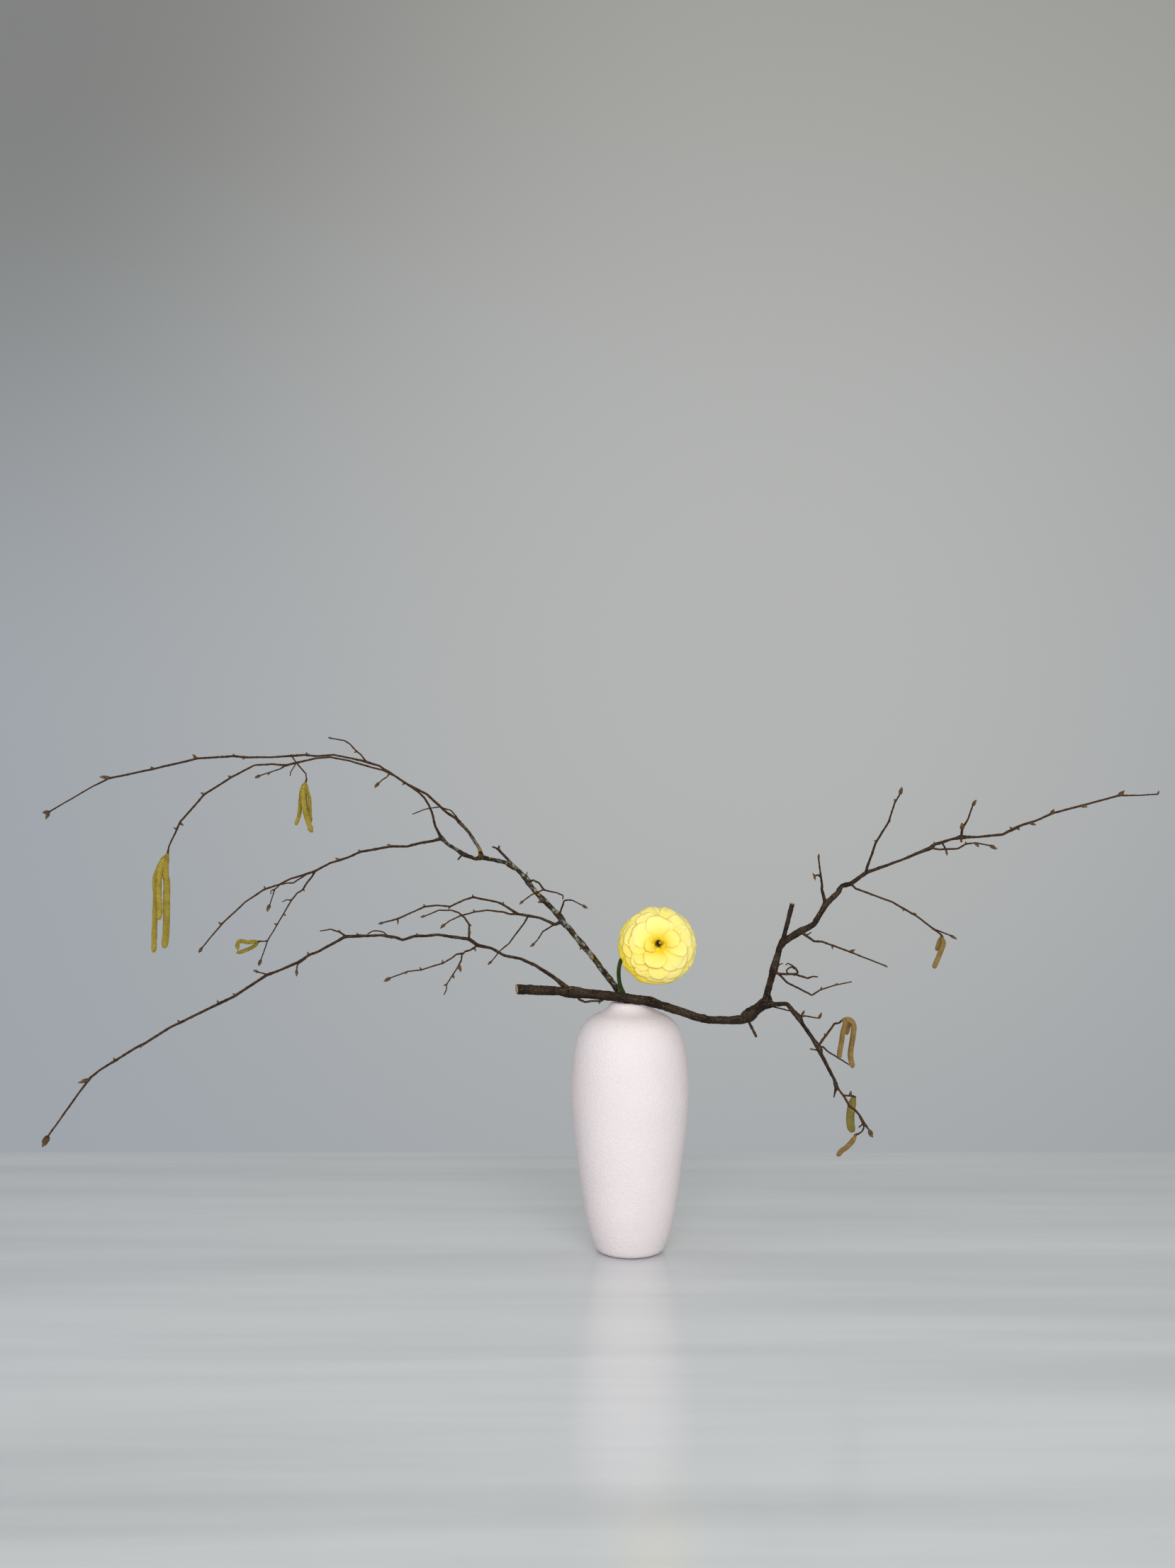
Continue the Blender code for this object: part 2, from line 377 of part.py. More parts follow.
CATKINS = {
    "left_long": [
        (3, [
            (-392.5, 4, 335), (-394, 3, 328), (-394, 2, 318.5), (-392.5, 1, 310), (-392.5, 0.5, 295.5),
            (-392.5, 0, 277.5), (-393, -0.5, 264.5), (-394, -1, 255.5),
        ]),
        (2.3, [
            (-394.5, 5.5, 333.5), (-400.5, 7.5, 323.5), (-404, 8, 314.5), (-404, 8.5, 300),
            (-404.5, 9, 286),
            (-405, 9, 274), (-405.5, 9.5, 261.5), (-406, 10, 250.5),
        ]),
        (2.4, [
            (-394, 1.5, 333), (-397.5, -1.5, 321.5), (-398.5, -1, 310.5), (-398.5, -1.5, 298.5),
            (-397.5, -2.5, 290), (-398, -3, 279.5),
        ]),
    ],
    "left_top": [
        (2.3, [
            (-285.5, 61, 396), (-287, 59.5, 390), (-287.5, 58, 382.5), (-286.5, 58, 375),
            (-285, 57.5, 367.5), (-282.5, 57.5, 360), (-279.5, 57, 351.5),
        ]),
        (1.7, [
            (-286, 61, 395.5), (-285, 62.5, 389), (-283, 64, 381.5), (-282.5, 64.5, 370.5),
            (-282, 65, 360),
        ]),
        (1.8, [
            (-286.5, 61, 395.5), (-289.5, 62.5, 387.5), (-291, 64, 377.5), (-292, 64, 366.5),
            (-295, 64, 357.5),
        ]),
        (1.6, [(-286, 61, 395.5), (-287.5, 66, 386.5), (-286.5, 67, 374), (-286, 68, 362)]),
    ],
    "left_curl": [
        (1.9, [
            (-330, 71.5, 253.5), (-334.5, 70.5, 253.5), (-339, 69.5, 253), (-342.5, 68.5, 254),
            (-346.5, 69, 253.5), (-348, 69.5, 250.5), (-348, 70.5, 246.5),
        ]),
        (1.8, [
            (-329.5, 71.5, 253), (-333.5, 72.5, 249.5), (-339, 74.5, 246.5), (-344, 75.5, 244.5),
            (-350, 75.5, 243),
        ]),
    ],
    "right_upper": [
        (1.9, [
            (244, -89.5, 273.5), (244.5, -91.5, 268.5), (243, -91.5, 264), (240.5, -92, 258),
            (236.5, -92.5, 249),
        ]),
        (1.7, [(243, -89.5, 273.5), (242.5, -86.5, 269.5), (240.5, -84.5, 262)]),
    ],
    "right_middle": [
        (2, [
            (172.5, -41, 200), (174.5, -42, 201), (175, -43, 197.5), (173.5, -43, 192),
            (172, -43.5, 183), (170.5, -43.5, 174.5), (170, -44, 169.5),
        ]),
        (2.15, [
            (172.5, -41, 200), (176, -41, 201), (180.5, -41, 199.5), (182.5, -40.5, 195.5),
            (182, -40, 187.5), (180.5, -39.5, 177.5), (180, -39, 170.5), (182, -39, 161),
        ]),
        (1.4, [
            (172.5, -41, 200), (176, -38, 199.5), (179, -37, 197.5), (179, -36, 193),
            (177.5, -35, 187.5),
        ]),
    ],
    "right_low": [
        (3.3, [
            (175, -85.5, 146.5), (174.5, -83, 142.5), (173.5, -80.5, 135.5), (173, -80, 127),
            (173.5, -80, 121.5), (175, -79.5, 117.5),
        ]),
    ],
    "right_tail": [
        (1.9, [
            (174.5, -97, 119), (172.5, -98, 115.5), (167, -98.5, 109.5), (163, -99.5, 107),
            (159.5, -100, 103),
        ]),
    ],
}

# Which twig each bunch of catkins hangs from.
BUNCH_TWIG = {
    "left_long": "second", "left_top": "top_catkin_stalk", "left_curl": "curl_stalk",
    "right_upper": "right_upper", "right_middle": "right_mid", "right_low": "right_bottom",
    "right_tail": "right_tail",
}
CATKIN_SIDES = 6
SCALE_PITCH = 3.0           # distance between two rows of catkin scales
SCALE_RELIEF = 0.13         # how far a row of scales stands out, as a share of the radius
STALK_RADIUS = 0.7
STALK_SIDES = 6
BUD_SIDES = 4
BUD_TIP = 0.35              # how far a bud leans to the front or the back
BUD_ROOT = 0.42             # width of a bud's root, as a share of its widest
BUD_WIDEST = 0.52           # where a bud is widest, as a share of its length

COLOURS = {                 # base colour and roughness of each material
    "ceramic": ((0.88, 0.84, 0.84), 0.6),
    "water": ((0.75, 0.85, 0.88), 0.1),
    "bark": ((0.11, 0.075, 0.05), 0.8),
    "lichen_bark": ((0.20, 0.17, 0.12), 0.85),
    "catkin": ((0.50, 0.42, 0.07), 0.8),
    "petal": ((0.95, 0.82, 0.22), 0.55),
    "eye": ((0.16, 0.07, 0.02), 0.7),
    "green_stem": ((0.06, 0.12, 0.02), 0.5),
}


def clear_scene():
    """Remove every object of the startup scene."""
    for thing in list(bpy.data.objects):
        bpy.data.objects.remove(thing)


def material(name):
    """A Principled material of one of the named colours."""
    colour, roughness = COLOURS[name]
    made = bpy.data.materials.new(name)
    made.use_nodes = True
    shader = made.node_tree.nodes["Principled BSDF"]
    shader.inputs["Base Color"].default_value = (*colour, 1.0)
    shader.inputs["Roughness"].default_value = roughness
    return made


def solid(name, corners, faces):
    """A new object from corners in millimetres, with its faces turned outwards."""
    mesh = bpy.data.meshes.new(name)
    mesh.from_pydata([tuple(Vector(corner) * MM) for corner in corners], [], faces)
    work = bmesh.new()
    work.from_mesh(mesh)
    bmesh.ops.recalc_face_normals(work, faces=work.faces)
    work.to_mesh(mesh)
    work.free()
    made = bpy.data.objects.new(name, mesh)
    bpy.context.scene.collection.objects.link(made)
    return made


def lofted(name, rings, tip=None):
    """A closed skin over rings of equal size, with flat ends, or a pointed end at tip."""
    sides = len(rings[0])
    corners = [corner for ring in rings for corner in ring]
    faces = [tuple(range(sides))]
    for i in range(len(rings) - 1):
        low = i * sides
        for k in range(sides):
            turn = (k + 1) % sides
            faces.append((low + k, low + turn, low + sides + turn, low + sides + k))
    top = (len(rings) - 1) * sides
    if tip is None:
        faces.append(tuple(range(top, top + sides)))
    else:
        corners.append(tip)
        faces.extend((top + k, top + (k + 1) % sides, len(corners) - 1) for k in range(sides))
    return solid(name, corners, faces)


def square_to(direction):
    """Two unit vectors square to a direction and to each other."""
    helper = Vector((0, 1, 0)) if abs(direction.y) < 0.9 else Vector((1, 0, 0))
    across = direction.cross(helper).normalized()
    return across, direction.cross(across).normalized()


def ring(centre, across, upright, radius, sides, turn=0.0):
    """Corners round a centre, in the plane of two unit vectors."""
    step = 2 * math.pi / sides
    return [
        centre + radius * (math.cos(k * step + turn) * across + math.sin(k * step + turn) * upright)
        for k in range(sides)
    ]


def headings(points):
    """Unit direction of travel at each point of a route."""
    ways = [(b - a).normalized() for a, b in zip(points, points[1:])]
    middle = [(a + b).normalized() for a, b in zip(ways, ways[1:])]
    return [ways[0], *middle, ways[-1]]


def carried_axes(directions):
    """Pairs of cross axes carried along a route without twisting."""
    across, upright = square_to(directions[0])
    pairs = [(across, upright)]
    for direction in directions[1:]:
        across = (across - direction * across.dot(direction)).normalized()
        pairs.append((across, direction.cross(across)))
    return pairs


def tube(name, points, radii, sides):
    """A tapering tube with flat ends along a route."""
    axes = carried_axes(headings(points))
    rings = [
        ring(point, *pair, radius, sides) for point, pair, radius in zip(points, axes, radii)
    ]
    return lofted(name, rings)


def side_count(radius):
    """Fewer sides on a thinner twig."""
    return 7 if radius > 3 else 6 if radius > 1.9 else 5 if radius > 1.2 else 4 if radius > 0.6 else 3


def along(points, share):
    """The point at a share of a route's length."""
    lengths = [(b - a).length for a, b in zip(points, points[1:])]
    left = share * sum(lengths)
    for a, b, length in zip(points, points[1:], lengths):
        if left <= length:
            return a.lerp(b, left / length)
        left -= length
    return points[-1]


def bud(name, base, angle, length, radius, side):
    """A pointed bud standing out from the middle of a twig; side tips it forwards or backwards."""
    turn = math.radians(angle)
    axis = Vector((math.cos(turn), BUD_TIP * side, math.sin(turn))).normalized()
    across, upright = square_to(axis)
    rings = [
        ring(base, across, upright, BUD_ROOT * radius, BUD_SIDES),
        ring(base + axis * BUD_WIDEST * length, across, upright, radius, BUD_SIDES),
    ]
    return lofted(name, rings, tip=base + axis * length)


def grown(item):
    """The solids of one stem or twig: its tube and its buds."""
    pieces = [tube(item["name"], item["points"], item["radii"], side_count(item["radii"][0]))]
    for i, (share, angle, length, *size) in enumerate(item["buds"]):
        radius = size[0] if size else max(0.95, 0.27 * length)
        base = along(item["points"], share)
        side = -1 if i % 2 == 0 else 1
        pieces.append(bud(f"{item['name']}_bud_{i}", base, angle, length, radius, side))
    return pieces


def fuse(name, pieces, solver="EXACT"):
    """Join pieces into one closed body with a single Boolean union, and name it.

    Catkins cross one another at shallow angles, which only the MANIFOLD solver joins cleanly."""
    base, *rest = pieces
    base.name = name
    base.data.name = name
    if rest:
        group = bpy.data.collections.new("to_join")
        for piece in rest:
            group.objects.link(piece)
        union = base.modifiers.new("join", "BOOLEAN")
        union.operation = "UNION"
        union.operand_type = "COLLECTION"
        union.collection = group
        union.solver = solver
        apply_modifiers(base)
        for piece in rest:
            bpy.data.objects.remove(piece)
        bpy.data.collections.remove(group)
        drop_specks(base)
    return base


def drop_specks(thing, corners=30):
    """Delete the tiny closed pockets a union leaves where several pieces cross at one place."""
    work = bmesh.new()
    work.from_mesh(thing.data)
    seen = set()
    specks = []
    for start in work.verts:
        if start in seen:
            continue
        island, waiting = [], [start]
        seen.add(start)
        while waiting:
            vert = waiting.pop()
            island.append(vert)
            for edge in vert.link_edges:
                other = edge.other_vert(vert)
                if other not in seen:
                    seen.add(other)
                    waiting.append(other)
        if len(island) < corners:
            specks.extend(island)
    bmesh.ops.delete(work, geom=specks, context="VERTS")
    work.to_mesh(thing.data)
    work.free()


def apply_modifiers(thing):
    """Replace an object's mesh by its evaluated mesh."""
    view = bpy.context.evaluated_depsgraph_get()
    mesh = bpy.data.meshes.new_from_object(thing.evaluated_get(view))
    thing.modifiers.clear()
    thing.data = mesh


def cut(thing, cutters):
    """Cut solids out of a solid and remove the cutters."""
    for i, cutter in enumerate(cutters):
        cutter.hide_render = True
        cutter.display_type = "WIRE"
        step = thing.modifiers.new(f"cut_{i}", "BOOLEAN")
        step.operation = "DIFFERENCE"
        step.object = cutter
        step.solver = "EXACT"
    apply_modifiers(thing)
    for cutter in cutters:
        bpy.data.objects.remove(cutter)


def turned(name, profile, sides):
    """A closed solid turned about the vertical axis from a profile that starts and ends on it."""
    rings = [
        ring(Vector((0, 0, height)), Vector((1, 0, 0)), Vector((0, 1, 0)), radius, sides)
        for radius, height in profile
    ]
    return lofted(name, rings)


def vase():
    """The vase: flat foot, wide shoulder, narrow mouth, hollow inside."""
    return turned("vase", VASE_OUTSIDE + VASE_INSIDE, VASE_SIDES)


def water():
    """The water, up to its level, with a plain hole for each stem that stands in it."""
    edge = [
        (radius - WATER_CLEARANCE, height)
        for radius, height in VASE_INSIDE[::-1] if height < WATER_LEVEL
    ]
    profile = [(edge[0][0], VASE_FLOOR + SEAT_GAP), *edge[1:], (WATER_TOP_RADIUS, WATER_LEVEL)]
    body = turned("water", profile, VASE_SIDES)
    holes = [
        stem_hole(FLOWER_STEM, FLOWER_STEM_RADIUS),
        stem_hole(HIGH_FOOT, HIGH_FOOT_RADIUS),
    ]
    cut(body, holes)
    return body


def stem_hole(route, radius):
    """A cutter round the straight lower run of a stem, longer than the water is deep."""
    top, foot = Vector(route[-2]), Vector(route[-1])
    beyond = foot + (foot - top).normalized() * 6
    across, upright = square_to((foot - top).normalized())
    size = radius + STEM_HOLE_PLAY
    return lofted("hole", [ring(spot, across, upright, size, 8) for spot in (top, beyond)])


def bloom_axes():
    """The bloom's forward axis and two axes across it."""
    forward = Vector(BLOOM_AXIS).normalized()
    across = Vector((0, 0, 1)).cross(forward).normalized()
    return forward, across, forward.cross(across)


def bloom_point(angle, turn, distance):
    """A point of the bloom's dome: angle from the axis, turn about it, distance from the centre."""
    forward, across, upright = bloom_axes()
    a, t = math.radians(angle), math.radians(turn)
    outward = math.cos(t) * across + math.sin(t) * upright
    return (
        Vector(BLOOM_CENTRE)
        + forward * distance * math.cos(a) * BLOOM_DEPTH
        + outward * distance * math.sin(a)
    )


def petal(name, row, turn, lift):
    """One thin cupped petal, from inside the core out to its rounded tip."""
    _, root_angle, tip_angle, reach, half_width, _ = row
    outer, inner = [], []
    for share, width in PETAL_SHAPE:
        angle = root_angle + (tip_angle - root_angle) * share
        distance = PETAL_ROOT + (reach - PETAL_ROOT) * math.sin(share * math.pi / 2) ** 0.9
        centre = bloom_point(angle, turn, distance)
        ahead = (bloom_point(angle + 2, turn, distance) - centre).normalized()
        outward = (centre - Vector(BLOOM_CENTRE)).normalized()
        across = ahead.cross(outward).normalized()
        normal = across.cross(ahead).normalized()
        for u in PETAL_COLUMNS:
            shift = u * width * half_width
            drop = shift * shift / (2.2 * distance)
            spot = centre + across * shift - normal * drop + normal * (u * lift)
            outer.append(spot + normal * PETAL_THICKNESS / 2)
            inner.append(spot - normal * PETAL_THICKNESS / 2)
    return blade(name, outer, inner, len(PETAL_COLUMNS))


def blade(name, outer, inner, columns):
    """A closed thin blade from two grids of corners, both split into triangles alike."""
    rows = len(outer) // columns
    back = len(outer)
    faces = []
    for r in range(rows - 1):
        for c in range(columns - 1):
            a = r * columns + c
            b, d, e = a + 1, a + columns, a + columns + 1
            faces.extend([(a, b, e), (a, e, d)])
            faces.extend([(back + a, back + e, back + b), (back + a, back + d, back + e)])
    edge = list(range(columns))
    edge += [r * columns + columns - 1 for r in range(1, rows)]
    edge += [(rows - 1) * columns + c for c in range(columns - 2, -1, -1)]
    edge += [r * columns for r in range(rows - 2, 0, -1)]
    for a, b in zip(edge, edge[1:] + edge[:1]):
        faces.append((a, back + a, back + b, b))
    return solid(name, outer + inner, faces)


def flower_petals():
    """The layered bloom: rows of petals standing out of a small domed core, with a well for the eye."""
    chance = random.Random(SEED)
    centre = Vector(BLOOM_CENTRE)
    forward, across, upright = bloom_axes()
    core_rings = []
    for angle in CORE_ANGLES:
        ahead = CORE_RADIUS * math.cos(math.radians(angle)) * BLOOM_DEPTH
        radius = CORE_RADIUS * math.sin(math.radians(angle))
        core_rings.append(ring(centre + forward * ahead, across, upright, radius, 12))
    pieces = [lofted("core", core_rings)]
    for k, row in enumerate(PETAL_ROWS):
        for i in range(row[0]):
            turn = row[5] + 360 * i / row[0] + chance.uniform(-5, 5)
            pieces.append(petal(f"petal_{k}_{i}", row, turn, 0.9 + chance.uniform(0, 0.4)))
    body = fuse("flower_petals", pieces)
    floor = centre + forward * EYE_FLOOR
    well = [ring(floor + forward * h, across, upright, EYE_RADIUS, 12) for h in (0, CORE_RADIUS)]
    behind = centre - forward * CORE_BACK
    back = [ring(behind - forward * h, across, upright, 14, 12) for h in (0, CORE_RADIUS)]
    cut(body, [lofted("eye_well", well), lofted("back_cut", back)])
    return body


def flower_centre():
    """The dark eye with its small stamens, seated on the floor of the eye's well."""
    forward, across, upright = bloom_axes()
    seat = Vector(BLOOM_CENTRE) + forward * (EYE_FLOOR + SEAT_GAP)
    rings = [ring(seat + forward * h, across, upright, r, 8) for r, h in CENTRE_SHAPE]
    pieces = [lofted("cone", rings, tip=seat + forward * CENTRE_TIP)]
    for i in range(STAMEN_COUNT):
        turn = 2 * math.pi * i / STAMEN_COUNT
        outward = math.cos(turn) * across + math.sin(turn) * upright
        route = [seat + forward * height + outward * out for out, height, _ in STAMEN]
        pieces.append(tube(f"stamen_{i}", route, [size for _, _, size in STAMEN], 4))
    return fuse("flower_centre", pieces)


def sepal(name, turn):
    """One green sepal spreading from the stem's head behind the petals."""
    forward, across, upright = bloom_axes()
    a = math.radians(turn)
    outward = math.cos(a) * across + math.sin(a) * upright
    sideways = forward.cross(outward)
    hub = Vector(BLOOM_CENTRE) - forward * (CORE_BACK + SEAT_GAP + SEPAL_HUB)
    outer, inner = [], []
    for reach, width, sag in SEPAL_SHAPE:
        for u in (-1.0, 0.0, 1.0):
            spot = hub + outward * reach + sideways * u * width
            spot -= forward * (sag - SEPAL_CUP * abs(u))
            outer.append(spot + forward * SEPAL_THICKNESS / 2)
            inner.append(spot - forward * SEPAL_THICKNESS / 2)
    return blade(name, outer, inner, 3)


def flower_stem():
    """The green stem with its head and sepals under the bloom."""
    forward, across, upright = bloom_axes()
    neck = Vector(BLOOM_CENTRE) - forward * (CORE_BACK + SEAT_GAP)
    head_rings = [ring(neck - forward * h, across, upright, r, 8) for h, r in STEM_HEAD]
    route = [neck - forward * 3.0, *(Vector(point) for point in FLOWER_STEM)]
    stem = tube("stem", route, [FLOWER_STEM_RADIUS] * len(route), 8)
    pieces = [lofted("head", head_rings), stem]
    for i in range(SEPAL_COUNT):
        pieces.append(sepal(f"sepal_{i}", SEPAL_TURN + 360 * i / SEPAL_COUNT))
    return fuse("flower_stem", pieces)


def branch(name, growths, extra=()):
    """A branch with all its twigs and buds joined into one body."""
    pieces = [piece for item in growths for piece in grown(item)]
    return fuse(name, [*pieces, *extra])


def smooth_route(points, pitch):
    """Points at about an even pitch on a smooth curve through a route's own points."""
    ends = [2 * points[0] - points[1], *points, 2 * points[-1] - points[-2]]
    made = []
    for a, b, c, d in zip(ends, ends[1:], ends[2:], ends[3:]):
        count = max(1, round((c - b).length / pitch))
        for i in range(count):
            t = i / count
            made.append(
                0.5 * ((2 * b) + (c - a) * t + (2 * a - 5 * b + 4 * c - d) * t * t
                       + (3 * b - a - 3 * c + d) * t ** 3)
            )
    return [*made, points[-1]]


def catkin(name, points, radius):
    """One catkin: rows of scales stand out in turn round a soft hanging body."""
    route = smooth_route([Vector(point) for point in points], SCALE_PITCH)
    axes = carried_axes(headings(route))
    half_turn = math.pi / CATKIN_SIDES
    rings = []
    last = len(route) - 1
    for i, (point, pair) in enumerate(zip(route, axes)):
        swell = min(1.0, 0.5 + 0.2 * i) * min(1.0, 0.6 + 0.25 * (last - i))
        relief = 1 + SCALE_RELIEF * (1 if i % 2 else -1)
        rings.append(ring(point, *pair, radius * swell * relief, CATKIN_SIDES, half_turn * (i % 2)))
    tip = route[-1] + (route[-1] - route[-2]).normalized() * radius * 0.5
    return lofted(name, rings, tip=tip)


def catkin_bunch(group, twig):
    """The catkins of one bunch on a short stalk, which starts just off the end of its twig."""
    end, before = twig["points"][-1], twig["points"][-2]
    way = (end - before).normalized()
    start = end + way * SEAT_GAP
    pieces = []
    for i, (radius, points) in enumerate(CATKINS[group]):
        pieces.append(catkin(f"{group}_{i}", points, radius))
    first_radius, first_points = CATKINS[group][0]
    first = Vector(first_points[0])
    ahead = (first - start).normalized()
    knot = [start, start + way * 0.7, first - ahead * 0.2, first + ahead * 0.9, first + ahead * 2.2]
    size = 0.5 + 0.5 * first_radius
    sizes = [STALK_RADIUS, STALK_RADIUS, size, size, STALK_RADIUS]
    pieces.append(tube("stalk", knot, sizes, STALK_SIDES))
    return fuse(f"catkins_{group}", pieces, "MANIFOLD")


def high_foot():
    """The upright branch's own foot, inside the vase."""
    points = [Vector(point) for point in HIGH_FOOT]
    return tube("foot", points, [HIGH_FOOT_RADIUS] * len(points), 7)


def main():
    clear_scene()
    twigs = {item["name"]: item for item in LOW_GROWTHS + HIGH_GROWTHS}
    made = [
        (vase(), "ceramic"),
        (water(), "water"),
        (branch("branch_low", LOW_GROWTHS), "bark"),
        (branch("branch_high", HIGH_GROWTHS, [high_foot()]), "lichen_bark"),
        (flower_petals(), "petal"),
        (flower_centre(), "eye"),
        (flower_stem(), "green_stem"),
    ]
    made += [(catkin_bunch(group, twigs[twig]), "catkin") for group, twig in BUNCH_TWIG.items()]
    for thing, colour in made:
        thing.data.materials.clear()
        thing.data.materials.append(material(colour))


main()
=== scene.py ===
"""Ikebana arrangement: catkin branches and one double yellow bloom in a round-shouldered ceramic vase.

Lengths are in millimetres in the code and become metres where a mesh is made: x to the right,
y away from the viewer, z up, with the origin at the centre of the vase's foot.
"""
import math
import random

import bmesh
import bpy
from bpy.props import FloatProperty, FloatVectorProperty, IntProperty, PointerProperty
from bpy.types import Operator, Panel, PropertyGroup
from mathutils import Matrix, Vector, noise


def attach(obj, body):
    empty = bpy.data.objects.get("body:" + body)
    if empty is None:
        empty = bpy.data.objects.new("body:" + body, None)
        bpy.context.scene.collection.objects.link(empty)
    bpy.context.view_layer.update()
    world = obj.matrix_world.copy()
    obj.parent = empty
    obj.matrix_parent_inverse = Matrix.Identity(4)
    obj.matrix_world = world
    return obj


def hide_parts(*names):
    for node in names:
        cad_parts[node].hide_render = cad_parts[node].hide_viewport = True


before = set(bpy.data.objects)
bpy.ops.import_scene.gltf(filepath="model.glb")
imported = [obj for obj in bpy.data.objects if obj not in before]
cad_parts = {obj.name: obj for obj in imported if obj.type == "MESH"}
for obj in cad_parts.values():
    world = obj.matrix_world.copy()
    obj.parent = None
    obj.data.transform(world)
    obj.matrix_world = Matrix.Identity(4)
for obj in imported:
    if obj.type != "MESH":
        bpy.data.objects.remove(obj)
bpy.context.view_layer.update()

bl_info = {
    "name": "Ikebana arrangement",
    "version": (1, 0, 0),
    "blender": (4, 5, 0),
    "location": "View3D > Sidebar > Ikebana",
    "description": "Catkin branches and a double yellow bloom in a ceramic vase",
    "category": "Object",
}

MM = 0.001                  # one millimetre in metres
SEED = 11
GOLDEN_TURN = 2.39996       # the turn in radians from one scale or stamen to the next
SEAT_GAP = 0.3              # the gap that a piece keeps to its seat
ALONG_X, ALONG_Y, ALONG_Z = Vector((1, 0, 0)), Vector((0, 1, 0)), Vector((0, 0, 1))


# ---------------------------------------------------------------- shapes shared with the solids

VASE_OUTSIDE = [            # (radius, height) up the outside, from the flat foot to the lip
    (25.5, 0.0), (28.0, 1.2), (32.0, 9.0), (37.8, 30.0), (41.7, 54.0), (45.0, 78.0), (48.3, 106.0),
    (50.0, 132.0), (49.0, 156.0), (46.0, 176.0), (42.4, 186.0), (38.0, 192.6), (32.0, 197.6),
    (21.4, 203.0), (18.4, 205.7), (16.4, 208.8), (14.6, 210.1),
]
VASE_INSIDE = [             # (radius, height) down the inside, from the lip to the floor
    (13.0, 209.6), (12.5, 208.0), (12.5, 202.5), (17.0, 198.0), (30.0, 192.0), (40.5, 176.0),
    (45.0, 134.0), (43.2, 103.0), (37.0, 55.0), (30.0, 18.0), (21.0, 8.0),
]
BLOOM_CENTRE = Vector((22.2, -20.0, 259.0))
BLOOM_AXIS = Vector((0.015, -0.978, 0.208)).normalized()
BLOOM_DEPTH = 0.86          # the dome's depth along its axis, as a share of its radius
CORE_RADIUS = 22.0
CORE_BACK = 16.0            # the flat back of the bloom's core, behind its centre
EYE_FLOOR = 17.0            # the floor of the eye, in front of the centre
FLOWER_STEM_RADIUS = 1.75
FLOWER_STEM = [
    (10, 12, 252), (0, 12, 250), (-6.5, 9, 245.5), (-9, 6.5, 239), (-9.5, 5, 232),
    (-8.5, 3, 224), (-6, 1.5, 218), (-3.5, 0.2, 213), (-2.5, 0, 206), (-4, 0.5, 190), (-15, 7, 8.5),
]
HIGH_FOOT_RADIUS = 2.3
HIGH_FOOT = [(-9.5, 6.5, 219.5), (-5.2, 8.1, 214), (-2.2, 7.3, 208), (4, 5, 199), (15, -11.5, 8.6)]


def growth(name, radii, points, buds=()):
    """One stem or twig: a fourth number in a point is its radius, otherwise it tapers as radii says.

    A bud is (share of the length, angle in the front view, length) and may end with its radius."""
    spots = [Vector(point[:3]) for point in points]
    if radii is None:
        sizes = [point[3] for point in points]
    else:
        last = len(points) - 1
        sizes = [radii[0] + (radii[1] - radii[0]) * i / last for i in range(last + 1)]
    return {"name": name, "points": spots, "radii": sizes, "buds": list(buds)}


